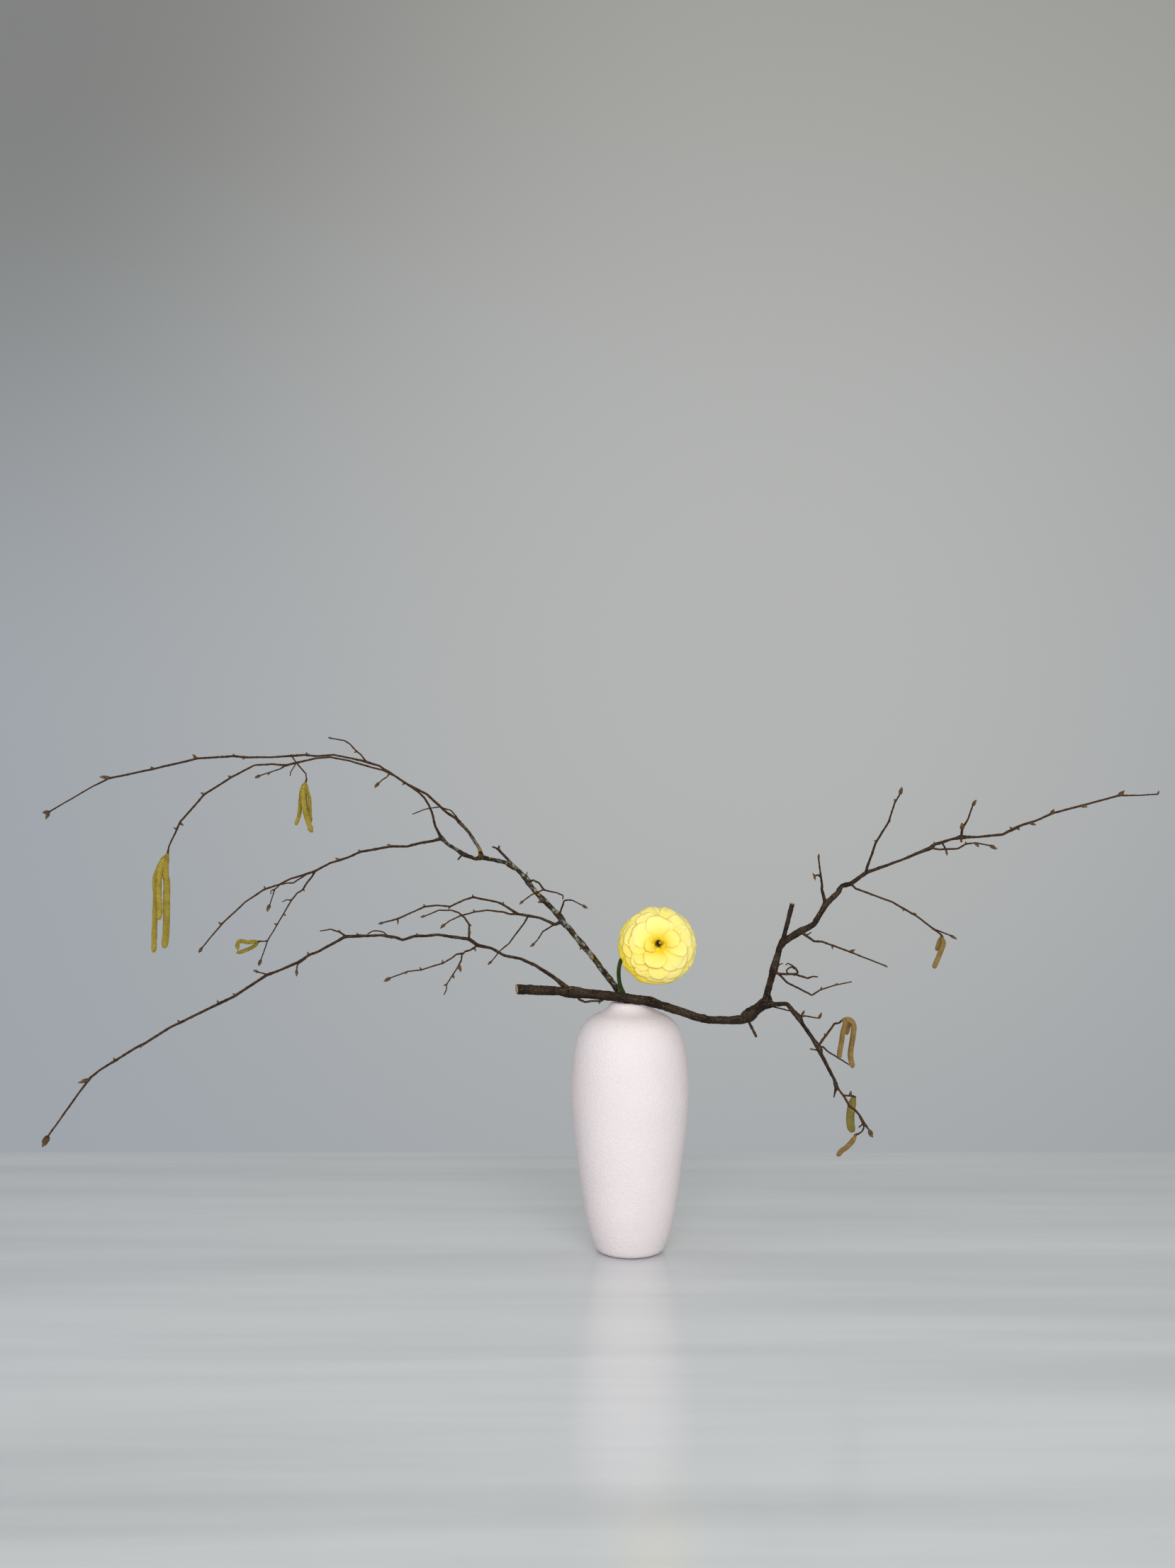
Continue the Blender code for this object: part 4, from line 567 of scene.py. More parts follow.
def nearest_on(points, spot):
    """(distance along a route, gap) of the route's closest place to a spot."""
    best = (0.0, (points[0] - spot).length)
    travelled = 0.0
    for a, b in zip(points, points[1:]):
        length = (b - a).length
        t = min(1.0, max(0.0, (spot - a).dot(b - a) / (length * length)))
        gap = (a.lerp(b, t) - spot).length
        if gap < best[1]:
            best = (travelled + t * length, gap)
        travelled += length
    return best


class Skin:
    """Corners and faces of one mesh, with values on its corners that its material reads."""

    def __init__(self):
        self.corners, self.edges, self.faces, self.values = [], [], [], {}

    def add(self, corner, **values):
        """Add a corner in millimetres with its named values, and return its number."""
        self.corners.append(corner * MM)
        for name, value in values.items():
            self.values.setdefault(name, {})[len(self.corners) - 1] = value
        return len(self.corners) - 1

    def ring(self, places, **values):
        """Add a ring of corners that share their values."""
        return [self.add(place, **values) for place in places]

    def bridge(self, *rings):
        """Close the bands between each ring of corners and the next."""
        for low, high in zip(rings, rings[1:]):
            self.faces += zip(low, low[1:] + low[:1], high[1:] + high[:1], high)

    def fan(self, rim, tip, flip=False):
        """Close a ring of corners onto one corner."""
        for a, b in zip(rim, rim[1:] + rim[:1]):
            self.faces.append((b, a, tip) if flip else (a, b, tip))

    def close(self, rings, foot, tip):
        """Close a stack of rings into one body, between a corner at its foot and one at its tip."""
        self.bridge(*rings)
        self.fan(rings[0], foot, flip=True)
        self.fan(rings[-1], tip)

    def blade(self, outer, inner, columns):
        """Close a thin blade between two grids of corners."""
        last = len(outer) - columns
        for a in range(last):
            if (a + 1) % columns:
                b, d, e = a + 1, a + columns, a + columns + 1
                self.faces.append((outer[a], outer[b], outer[e], outer[d]))
                self.faces.append((inner[a], inner[d], inner[e], inner[b]))
        edge = [*range(columns), *range(2 * columns - 1, last, columns)]
        edge += [*range(len(outer) - 1, last, -1), *range(last, 0, -columns)]
        for a, b in zip(edge, edge[1:] + edge[:1]):
            self.faces.append((outer[a], inner[a], inner[b], outer[b]))

    def build(self, name, finish=None):
        """The mesh as an object, with its values as attributes and its faces pointing out."""
        mesh = bpy.data.meshes.new(name)
        mesh.from_pydata([tuple(corner) for corner in self.corners], self.edges, self.faces)
        if self.faces:
            work = bmesh.new()
            work.from_mesh(mesh)
            bmesh.ops.recalc_face_normals(work, faces=work.faces)
            work.to_mesh(mesh)
            work.free()
            mesh.shade_smooth()
        for attribute, found in self.values.items():
            vector = hasattr(next(iter(found.values())), "__len__")
            layer = mesh.attributes.new(attribute, "FLOAT_VECTOR" if vector else "FLOAT", "POINT")
            for i, value in found.items():
                setattr(layer.data[i], "vector" if vector else "value", value)
        if finish:
            mesh.materials.append(finish)
        return shown(name, mesh)


def shown(name, data):
    """A new object in the scene."""
    made = bpy.data.objects.new(name, data)
    bpy.context.scene.collection.objects.link(made)
    return made


def placed(piece, node):
    """Seat a finished piece on the model, and hide the node that it stands for."""
    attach(piece, "root")
    if node:
        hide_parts(node)


# ---------------------------------------------------------------- node trees

class Graph:
    """A node tree under construction."""

    def __init__(self, tree):
        self.tree = tree

    def feed(self, socket, value):
        """Link an output to a socket, or set the socket's own value."""
        if isinstance(value, bpy.types.NodeSocket):
            self.tree.links.new(value, socket)
        elif socket.type == "RGBA":
            socket.default_value = (*value, 1.0)
        else:
            socket.default_value = value

    def node(self, kind, feeds, **settings):
        """A new node with its plain settings and its inputs fed by name or number."""
        made = self.tree.nodes.new(kind)
        for name, value in settings.items():
            setattr(made, name, value)
        for key, value in feeds.items():
            self.feed(made.inputs[key], value)
        return made

    def add(self, kind, feeds, output=0, **settings):
        """One output of a new node."""
        return self.node(kind, feeds, **settings).outputs[output]

    def maths(self, operation, *values):
        """A sum, product or other operation on values."""
        return self.add("ShaderNodeMath", dict(enumerate(values)), operation=operation)

    def times(self, a, b):
        """A product."""
        return self.maths("MULTIPLY", a, b)


class Recipe(Graph):
    """A material under construction, with short calls for the nodes this arrangement needs."""

    def __init__(self, name, roughness, **gloss):
        self.material = bpy.data.materials.new(name)
        self.material.use_nodes = True
        super().__init__(self.material.node_tree)
        self.shader = self.tree.nodes["Principled BSDF"].inputs
        self.shader["Roughness"].default_value = roughness
        for title, value in gloss.items():
            self.shader[GLOSS[title]].default_value = value
        self.place = self.add("ShaderNodeTexCoord", {}, "Object")

    def value(self, name, output="Fac"):
        """A named value of the mesh."""
        return self.add("ShaderNodeAttribute", {}, output, attribute_name=name)

    def parts(self, vector):
        """The x, y and z of a vector."""
        return self.node("ShaderNodeSeparateXYZ", {0: vector}).outputs

    def stretched(self, vector, scale):
        """A vector scaled along each axis."""
        return self.add("ShaderNodeMapping", {"Vector": vector, "Scale": scale})

    def noise(self, vector, scale, detail=3.0, roughness=0.55, output="Fac"):
        """Soft noise."""
        feeds = {"Vector": vector, "Scale": scale, "Detail": detail, "Roughness": roughness}
        return self.add("ShaderNodeTexNoise", feeds, output)

    def cells(self, vector, scale, feature="F1"):
        """Distance to the middle of scattered cells."""
        feeds = {"Vector": vector, "Scale": scale}
        return self.add("ShaderNodeTexVoronoi", feeds, "Distance", feature=feature)

    def ramp(self, value, low, high, invert=False):
        """Smooth step of a value from 0 at low to 1 at high, or from 1 to 0."""
        feeds = {
            "Value": value, "From Min": low, "From Max": high,
            "To Min": 1.0 if invert else 0.0, "To Max": 0.0 if invert else 1.0,
        }
        return self.add("ShaderNodeMapRange", feeds, "Result", interpolation_type="SMOOTHSTEP")

    def mix(self, share, a, b, most=1.0):
        """Blend from colour a towards colour b by a share of the most that is allowed."""
        if most < 1.0:
            share = self.times(share, most)
        return self.add("ShaderNodeMix", {0: share, 6: a, 7: b}, 2, data_type="RGBA")

    def bump(self, height, distance, strength=1.0, below=None):
        """A bump of that height in metres, over an earlier bump if one is given."""
        feeds = {"Height": height, "Distance": distance, "Strength": strength}
        if below is not None:
            feeds["Normal"] = below
        return self.add("ShaderNodeBump", feeds)

    def finish(self, colour, normal=None, roughness=None):
        """Connect the finished colour, bump and roughness."""
        for title, value in (("Base Color", colour), ("Normal", normal), ("Roughness", roughness)):
            if value is not None:
                self.feed(self.shader[title], value)
        return self.material


GLOSS = {                   # the short names of the shader's other inputs
    "specular": "Specular IOR Level", "coat": "Coat Weight", "coat_roughness": "Coat Roughness",
    "subsurface": "Subsurface Weight", "subsurface_radius": "Subsurface Radius",
    "transmission": "Transmission Weight", "ior": "IOR", "emission": "Emission Strength",
}


def shade(colour, *factors):
    """A colour times one factor, or times one for each channel."""
    return tuple(min(1.0, c * f) for c, f in zip(colour, factors * (3 // len(factors))))


def ceramic_finish(settings):
    """Pale rose-white ceramic with a fine leathery grain."""
    recipe = Recipe("matte_ceramic", 0.62, specular=0.35)
    place = recipe.place
    warp = recipe.noise(place, 320.0, 2.0, 0.5, "Color")
    wavy = recipe.add("ShaderNodeVectorMath", {0: warp, 1: (0.0022,) * 3, 2: place}, operation="MULTIPLY_ADD")
    pebbles = recipe.cells(wavy, 1.0 / settings.grain_size, "SMOOTH_F1")
    fine = recipe.noise(place, 1500.0, 2.0)
    grain = recipe.bump(recipe.ramp(pebbles, 0.1, 0.8, invert=True), settings.grain_depth, 0.85)
    grain = recipe.bump(recipe.noise(place, 95.0, 2.0), 0.0007, 0.22, below=grain)
    grain = recipe.bump(fine, 0.00012, 0.3, below=grain)
    body = settings.body_colour
    clouds = recipe.ramp(recipe.noise(place, 14.0), 0.35, 0.7)
    colour = recipe.mix(clouds, body, shade(body, 0.965, 0.955, 0.95))
    colour = recipe.mix(recipe.ramp(pebbles, 0.5, 0.95), colour, shade(body, 0.93))
    return recipe.finish(colour, grain, recipe.maths("MULTIPLY_ADD", fine, 0.12, 0.5))


def bark_finish(name, settings, lichen_cover):
    """Bark from rusty young shoots to dark old wood, with lichen, pores, pale cut ends and painted shade
    underneath.
    """
    recipe = Recipe(name, 0.78, specular=0.16)
    place = recipe.place
    grain, girth = recipe.value("grain", "Vector"), recipe.value("girth")
    patches = recipe.noise(place, 60.0, 4.0)
    fibres = recipe.noise(recipe.stretched(grain, (1.4, 1.4, 0.22)), 1.0, 4.0, 0.65)
    rings = recipe.noise(recipe.stretched(grain, (0.35, 0.35, 1.1)), 1.0)
    pores = recipe.cells(recipe.stretched(grain, (0.75, 0.75, 0.4)), 1.0)
    old, young = settings.old_bark, settings.young_bark
    old = recipe.mix(recipe.ramp(patches, 0.38, 0.66), old, shade(old, 3.3, 3.3, 3.4))
    young = recipe.mix(recipe.ramp(patches, 0.35, 0.7), young, shade(young, 0.55, 0.5, 0.5))
    wood = recipe.mix(recipe.ramp(girth, 0.65, 1.5), young, old)
    # pale streaks along the grain: partly the bark's own fibres, partly painted highlight
    wood = recipe.mix(recipe.ramp(fibres, 0.50, 0.70), wood, (0.17, 0.115, 0.07), 0.6)
    wood = recipe.mix(recipe.ramp(rings, 0.34, 0.5, invert=True), wood, (0.007, 0.0045, 0.003), 0.75)
    specks = recipe.times(recipe.ramp(pores, 0.07, 0.16, invert=True), 0.8)
    wood = recipe.mix(specks, wood, (0.30, 0.22, 0.14))
    crust = recipe.noise(place, 210.0, 5.0, 0.7)
    islands = recipe.noise(place, 62.0, 2.0)
    cover = recipe.times(
        recipe.ramp(crust, 0.60 - lichen_cover, 0.68 - lichen_cover),
        recipe.ramp(islands, 0.52 - lichen_cover, 0.62 - lichen_cover))
    cover = recipe.times(cover, recipe.ramp(girth, 1.0, 2.0))
    ochre = recipe.ramp(recipe.noise(place, 47.0, 1.0), 0.56, 0.62)
    wood = recipe.mix(cover, wood, recipe.mix(ochre, settings.lichen, (0.42, 0.27, 0.03)))
    # painted shade: the bark darkens where its skin faces down, away from the light
    underside_shade = recipe.ramp(recipe.value("sky"), -0.75, 0.55, invert=True)
    wood = recipe.mix(underside_shade, wood, (0.009, 0.006, 0.0035), 0.62)
    cut_colour = recipe.mix(recipe.noise(place, 700.0), (0.30, 0.20, 0.12), (0.50, 0.38, 0.24))
    colour = recipe.mix(recipe.value("cut"), wood, cut_colour)
    height = fibres
    for value, strength in ((rings, 0.6), (specks, 0.4), (cover, 0.5)):
        height = recipe.maths("ADD", height, recipe.times(value, strength))
    rough = recipe.maths("ADD", recipe.times(recipe.ramp(girth, 0.8, 2.2), 0.22), 0.55)
    return recipe.finish(colour, recipe.bump(height, 0.0006, 0.8), rough)


def bud_finish():
    """Ochre-green buds with dark scale edges."""
    recipe = Recipe("bud_scales", 0.5)
    speckle = recipe.noise(recipe.place, 900.0, 2.0)
    rise = recipe.ramp(recipe.value("rise"), 0.1, 0.95)
    body = recipe.mix(rise, (0.060, 0.025, 0.009), (0.15, 0.082, 0.020))
    body = recipe.mix(recipe.ramp(speckle, 0.45, 0.7), body, (0.21, 0.13, 0.038), 0.5)
    colour = recipe.mix(recipe.value("edge"), body, (0.035, 0.014, 0.007))
    return recipe.finish(colour, recipe.bump(speckle, 0.00015, 0.6))


def catkin_finish(name, colour, tip_colour):
    """Soft scales: painted shade dark between them, paler on their rims."""
    recipe = Recipe(name, 0.82)
    rise = recipe.value("rise")
    patches = recipe.noise(recipe.place, 110.0, 2.0)
    # painted shade: the scales' feet and the core between them darken to about a third of the colour
    base = recipe.mix(recipe.ramp(rise, 0.05, 0.6), shade(colour, 0.36), colour)
    base = recipe.mix(recipe.ramp(rise, 0.6, 1.0), base, tip_colour, 0.8)
    base = recipe.mix(recipe.value("tint"), base, shade(colour, 0.5), 0.5)
    base = recipe.mix(recipe.ramp(patches, 0.42, 0.66), base, shade(colour, 0.55), 0.5)
    return recipe.finish(base, recipe.bump(recipe.noise(recipe.place, 1400.0), 0.0002, 0.7))


def petal_finish(settings):
    """Thin lemon petals with faint lengthwise veins, deep yellow painted as shade at roots and rims, paler
    tips.
    """
    recipe = Recipe(
        "lemon_petal", 0.55, specular=0.05, subsurface=0.5, subsurface_radius=(0.0050, 0.0040, 0.0010))
    blade = recipe.value("blade", "Vector")
    _, length, tint = recipe.parts(blade)
    veins = recipe.noise(recipe.stretched(blade, (26.0, 1.6, 9.0)), 1.0, 2.0)
    deep_and_shade, face = settings.deep_and_shade_colour, settings.petal_colour
    # depth of colour per petal: partly the petals' own deeper yellow, partly painted shade on the side away
    # from the light
    base = recipe.mix(tint, face, deep_and_shade)
    # painted light: the tips of the pale petals, on the side facing the light, turn paler
    light = recipe.times(recipe.ramp(length, 0.35, 1.0), recipe.maths("SUBTRACT", 1.0, tint))
    base = recipe.mix(light, base, shade(face, 1.0, 1.07, 1.4), 0.8)
    # painted shade: deep yellow at the petals' roots, down among the other petals
    base = recipe.mix(recipe.ramp(length, 0.06, 0.52, invert=True), base, deep_and_shade, 0.80)
    base = recipe.mix(recipe.ramp(veins, 0.45, 0.8), base, deep_and_shade, 0.16)
    # painted shade: a deep yellow line along the tip of each petal, where it lies over the next
    base = recipe.mix(recipe.ramp(length, 0.965, 1.0), base, deep_and_shade, 0.8)
    normal = recipe.bump(veins, 0.00015, 0.35)
    return recipe.finish(base, recipe.bump(recipe.noise(recipe.place, 90.0, 2.0), 0.0008, 0.2, below=normal))


def eye_finish():
    """Dark brown heart of the bloom, with a green crown."""
    recipe = Recipe("dark_heart", 0.55)
    crumbs = recipe.cells(recipe.place, 1100.0)
    crown = recipe.ramp(recipe.value("rise"), 0.55, 0.95)
    base = recipe.mix(crown, (0.045, 0.014, 0.004), (0.62, 0.47, 0.02))
    base = recipe.mix(recipe.ramp(crumbs, 0.3, 0.7), base, (0.02, 0.007, 0.003), 0.5)
    return recipe.finish(base, recipe.bump(crumbs, 0.0003, 0.8))


def stamen_finish():
    """Golden stamens with dusty heads."""
    recipe = Recipe("golden_stamen", 0.6)
    dust = recipe.noise(recipe.place, 2600.0)
    base = recipe.mix(recipe.ramp(recipe.value("rise"), 0.0, 0.6), (0.45, 0.22, 0.012), (0.90, 0.62, 0.02))
    base = recipe.mix(recipe.ramp(dust, 0.4, 0.7), base, (0.95, 0.76, 0.10), 0.4)
    return recipe.finish(base, recipe.bump(dust, 0.0002, 0.6))


def stem_finish():
    """Dark green fleshy stem with faint ribs."""
    recipe = Recipe("green_stem", 0.5, specular=0.2)
    ribs = recipe.noise(recipe.stretched(recipe.value("grain", "Vector"), (1.6, 1.6, 0.06)), 1.0)
    patches = recipe.noise(recipe.place, 90.0)
    base = recipe.mix(recipe.ramp(patches, 0.35, 0.7), (0.020, 0.036, 0.003), (0.045, 0.074, 0.008))
    base = recipe.mix(recipe.ramp(ribs, 0.5, 0.75), base, (0.075, 0.11, 0.02), 0.5)
    return recipe.finish(base, recipe.bump(ribs, 0.0003, 0.6))


def water_finish():
    """Clear still water."""
    recipe = Recipe("still_water", 0.03, transmission=0.92, ior=1.33)
    ripple = recipe.noise(recipe.place, 40.0, 1.0)
    tint = recipe.mix(recipe.ramp(ripple, 0.3, 0.7), (0.86, 0.93, 0.93), (0.90, 0.95, 0.92))
    return recipe.finish(tint, recipe.bump(ripple, 0.0004, 0.1))


# ---------------------------------------------------------------- geometry-node trees

class Tree(Graph):
    """A geometry-node tree under construction: copies of a shape, their seed and material, and sizes."""

    def __init__(self, name, sizes):
        super().__init__(bpy.data.node_groups.new(name, "GeometryNodeTree"))
        kinds = {"Geometry": "Geometry", "Shape": "Object", "Seed": "Int", "Material": "Material"}
        for title, kind in {**kinds, **dict.fromkeys(sizes, "Float")}.items():
            made = self.tree.interface.new_socket(title, in_out="INPUT", socket_type=f"NodeSocket{kind}")
            if title in sizes:
                made.default_value = sizes[title]
        self.tree.interface.new_socket("Geometry", in_out="OUTPUT", socket_type="NodeSocketGeometry")
        self.given = self.tree.nodes.new("NodeGroupInput").outputs
        self.result = self.tree.nodes.new("NodeGroupOutput").inputs[0]

    def named(self, name, kind="FLOAT"):
        """A named value of the incoming geometry."""
        return self.add("GeometryNodeInputNamedAttribute", {"Name": name}, data_type=kind)

    def scaled(self, vector, factor):
        """A vector times a number."""
        return self.add("ShaderNodeVectorMath", {0: vector, "Scale": factor}, operation="SCALE")

    def random(self, low, high):
        """A random number between two values."""
        feeds = {2: low, 3: high, "Seed": self.given["Seed"]}
        return self.add("FunctionNodeRandomValue", feeds, 1, data_type="FLOAT")

    def about_one(self, spread):
        """A random factor that differs from 1 by up to the spread."""
        return self.random(self.maths("SUBTRACT", 1.0, spread), self.maths("ADD", 1.0, spread))

    def aligned(self, vector, axis, before=None, pivot="AUTO"):
        """A rotation that brings an axis onto a vector, after an earlier rotation if one is given."""
        feeds = {"Vector": vector}
        if before is not None:
            feeds["Rotation"] = before
        return self.add("FunctionNodeAlignRotationToVector", feeds, axis=axis, pivot_axis=pivot)

    def planted(self, points, rotation, size):
        """Copies of the shape on points."""
        shape = self.add(
            "GeometryNodeObjectInfo", {"Object": self.given["Shape"], "As Instance": True}, "Geometry")
        feeds = {"Points": points, "Instance": shape, "Rotation": rotation, "Scale": size}
        return self.add("GeometryNodeInstanceOnPoints", feeds)

    def close(self, geometry):
        """Realize the result and give it the material, as the last two nodes."""
        real = self.add("GeometryNodeRealizeInstances", {"Geometry": geometry})
        painted = self.add("GeometryNodeSetMaterial", {"Geometry": real, "Material": self.given["Material"]})
        self.tree.links.new(painted, self.result)
        return self.tree


def run_tree(piece, tree, shape, finish, **values):
    """Put a tree on a piece with its inputs set by title, and keep the result as a plain smooth mesh."""
    values.update(shape=shape, material=finish, seed=SEED)
    step = piece.modifiers.new(tree.name, "NODES")
    step.node_group = tree
    for item in tree.interface.items_tree:
        title = item.name.replace(" ", "_").lower()
        if item.in_out == "INPUT" and title in values:
            step[item.identifier] = values[title]
    view = bpy.context.evaluated_depsgraph_get()
    mesh = bpy.data.meshes.new_from_object(piece.evaluated_get(view))
    piece.modifiers.clear()
    piece.data = mesh
    mesh.shade_smooth()
    bpy.data.objects.remove(shape)
    return piece


def planting_tree():
    """Copies of a shape planted on points, each standing along its point's own direction."""
    tree = Tree("planted_shapes", {"Size spread": 0.0})
    stand = tree.aligned(tree.named("aim", "FLOAT_VECTOR"), "Z")
    turn = tree.random(0.0, 6.283)
    twist = tree.add("FunctionNodeAxisAngleToRotation", {"Axis": ALONG_Z, "Angle": turn})
    both = tree.add(
        "FunctionNodeRotateRotation", {"Rotation": stand, "Rotate By": twist}, rotation_space="LOCAL")
    size = tree.scaled(tree.named("size", "FLOAT_VECTOR"), tree.about_one(tree.given["Size spread"]))
    return tree.close(tree.planted(tree.given["Geometry"], both, size))


def catkin_tree():
    """A catkin on a path: a soft core with scales set round it in a spiral, each overlapping the next."""
    tree = Tree("scaly_catkin", {
        "Scale length": 0.002, "Spacing": 0.0002, "Spiral turn": GOLDEN_TURN, "Lift": 0.55, "Ragged": 0.1,
    })
    given, thick = tree.given, tree.named("thick")
    path = tree.add("GeometryNodeMeshToCurve", {"Mesh": given["Geometry"]})
    spots = tree.add("GeometryNodeResampleCurve", {"Curve": path, "Length": given["Spacing"]}, mode="LENGTH")
    tangent = tree.add("GeometryNodeInputTangent", {})
    angle = tree.times(tree.add("GeometryNodeInputIndex", {}), given["Spiral turn"])
    feeds = {"Vector": tree.add("GeometryNodeInputNormal", {}), "Axis": tangent, "Angle": angle}
    out = tree.add("ShaderNodeVectorRotate", feeds, rotation_type="AXIS_ANGLE")
    kept = tree.node("GeometryNodeCaptureAttribute", {"Geometry": spots}, domain="POINT")
    for title, value in (("out", out), ("way", tangent)):
        kept.capture_items.new("VECTOR", title)
        tree.feed(kept.inputs[title], value)
    out, way = kept.outputs["out"], kept.outputs["way"]
    step = tree.scaled(out, tree.times(thick, 0.86))
    seats = tree.add("GeometryNodeSetPosition", {"Geometry": kept.outputs[0], "Offset": step})
    feeds = {0: (-1.0, -1.0, -1.0), 1: (1.0, 1.0, 1.0), "Seed": given["Seed"]}
    sway = tree.scaled(
        tree.add("FunctionNodeRandomValue", feeds, data_type="FLOAT_VECTOR"), given["Ragged"])
    leaning = out
    for push in (sway, tree.scaled(way, given["Lift"])):
        leaning = tree.add("ShaderNodeVectorMath", {0: leaning, 1: push}, operation="ADD")
    stand = tree.aligned(leaning, "Z")
    facing = tree.aligned(way, "Y", stand, "Z")
    narrow = tree.maths("MINIMUM", tree.maths("DIVIDE", thick, 0.0022), 1.0)
    size = tree.times(tree.times(narrow, tree.about_one(given["Ragged"])), given["Scale length"])
    feeds = {"Geometry": tree.planted(seats, facing, size), "Name": "tint", "Value": tree.random(0.0, 1.0)}
    tinted = tree.add("GeometryNodeStoreNamedAttribute", feeds, data_type="FLOAT", domain="INSTANCE")
    # the core carries no rise value, so its finish paints it in the dark shade between the scales
    core = tree.add("GeometryNodeResampleCurve", {"Curve": path, "Length": 0.001}, mode="LENGTH")
    ring = tree.add("GeometryNodeCurvePrimitiveCircle", {"Resolution": 10, "Radius": 1.0}, mode="RADIUS")
    tube = tree.add("GeometryNodeCurveToMesh", {
        "Curve": core, "Profile Curve": ring, "Scale": tree.times(thick, 0.82), "Fill Caps": True,
    })
    both = tree.node("GeometryNodeJoinGeometry", {})
    for part in (tinted, tube):
        tree.feed(both.inputs[0], part)
    return tree.close(both.outputs[0])


# ---------------------------------------------------------------- the vase

def turn_vase(settings):
    """The vase, turned on its axis: outside, lip and inside, closed at the foot and at the floor."""
    profile = [Vector((radius, 0, height)) for radius, height in VASE_OUTSIDE + VASE_INSIDE]
    spots = [spot for spot, _, _ in drawn(profile, [0.0] * len(profile), 2.0)]
    skin = Skin()
    rings = [
        skin.ring(circle(ALONG_Z * spot.z, spot.x, settings.sides))
        for spot in (spots[0] * 0.9, *spots)
    ]
    skin.close(rings, skin.add(Vector()), skin.add(ALONG_Z * spots[-1].z))
    placed(skin.build("vase_body", ceramic_finish(settings)), "vase")


# ---------------------------------------------------------------- branches

CUT_REACH = 12.0            # how far from its end a slanted cut bends a stem's skin
CUT_SLANT = {"low_trunk": 0.95}     # how far a cut leans towards the viewer, as a share of the width
FLARE = 0.35                # how much thicker a side twig is where it leaves its branch
BUD_LAYERS = [(0.0, 0.42), (0.12, 0.66), (0.25, 0.86), (0.0, 1.0)]      # start and end along the bud
BUD_STEPS = 5               # bands of one layer of a bud


def swelling(place, knots):
    """How much thicker a twig is at a place, from the buds and side twigs near it."""
    return 1 + sum(size * math.exp(-(((place - spot) / width) ** 2)) for spot, size, width in knots)


def knots_of(twig, growths):
    """Places along a twig where it is thicker: its buds and the starts of its side twigs."""
    total = sum((b - a).length for a, b in zip(twig["points"], twig["points"][1:]))
    girth = twig["radii"][0]
    knots = [(bud[0] * total, 0.16, 0.8 + 0.7 * girth) for bud in twig["buds"]]
    for other in growths:
        if other is not twig:
            spot, gap = nearest_on(twig["points"], other["points"][0])
            if gap < max(1.6, girth) and 0.5 < spot < total - 0.5:
                knots.append((spot, 0.20, 1.0 + 1.1 * girth))
    return knots


def kinked(twig, chance):
    """A twig's points and radii with joints between them, each a little off the straight line."""
    points, radii, joints = [twig["points"][0]], [twig["radii"][0]], []
    travelled, side = 0.0, 1
    for a, b, low, high in zip(twig["points"], twig["points"][1:], twig["radii"], twig["radii"][1:]):
        length = (b - a).length
        count = round(length / chance.uniform(6.0, 9.0))
        across, upright = square_to((b - a).normalized())
        for i in range(1, count + 1):
            share = (i + chance.uniform(-0.25, 0.25)) / (count + 1)
            girth = low + (high - low) * share
            off = (across * chance.uniform(-0.5, 0.5) + upright * side) * chance.uniform(0.12, 0.34)
            points.append(a.lerp(b, share) + off * min(1.0, 0.45 + 0.3 / girth))
            radii.append(girth)
            swell = chance.uniform(0.08, 0.26) * min(1.0, 1.2 / girth)
            joints.append((travelled + share * length, swell, 0.55 + 0.35 * girth))
            side = -side
        travelled += length
        points.append(b)
        radii.append(high)
    return points, radii, joints


def skin_twig(skin, twig, growths, settings, chance, cut_ends=(False, False)):
    """Add one twig to the skin: an uneven round stem with joints, knots and a flared foot."""
    thick, foot = max(twig["radii"]), twig["radii"][0]
    sides = 26 if thick > 3 else 18 if thick > 1.8 else 12 if thick > 0.9 else 8
    flare = 0.0 if twig["name"].endswith("trunk") else FLARE
    slant = CUT_SLANT.get(twig["name"], 0.0)
    points, radii, joints = kinked(twig, chance)
    route = drawn(points, radii, 1.0 if thick < 1.5 else 1.2, 0.6 if thick < 2.2 else 0.85)
    spots = [spot for spot, _, _ in route]
    ways = headings(spots)
    knots = knots_of(twig, growths) + joints
    shift = Vector([chance.uniform(0, 90) for _ in range(3)])
    rings = []
    for (spot, radius, place), way, (across, upright) in zip(route, ways, carried_axes(ways)):
        size = radius * swelling(place, knots) * (1 + flare * math.exp(-place / (1.5 * foot)))
        ring = []
        for turn in around(sides):
            side = spoke(turn, across, upright)
            flat = spoke(turn, ALONG_X, ALONG_Y)
            local = flat * (0.9 * radius ** 0.5)
            rough = noise.noise(local + ALONG_Z * (place * 0.32 / radius ** 0.5) + shift)
            fine = noise.noise(local * 2.6 + ALONG_Z * (place * 0.9) + shift)
            reach = size * (1 + settings.ruggedness * (rough * 1.25 + fine * 0.75))
            lean = -slant * side.y * reach * max(0.0, 1 - place / CUT_REACH)
            # sky is how far the skin faces up; the bark's finish paints shade where it faces down
            ring.append(skin.add(
                spot + side * reach + way * lean, girth=radius, cut=0.0, sky=side.z,
                grain=(flat.x * radius + shift.x, flat.y * radius + shift.y, place)))
        rings.append(ring)
    skin.bridge(*rings)
    close_end(skin, rings[0], spots[0] - spots[1], foot, cut_ends[0])
    close_end(skin, rings[-1], spots[-1] - spots[-2], twig["radii"][-1], cut_ends[1])


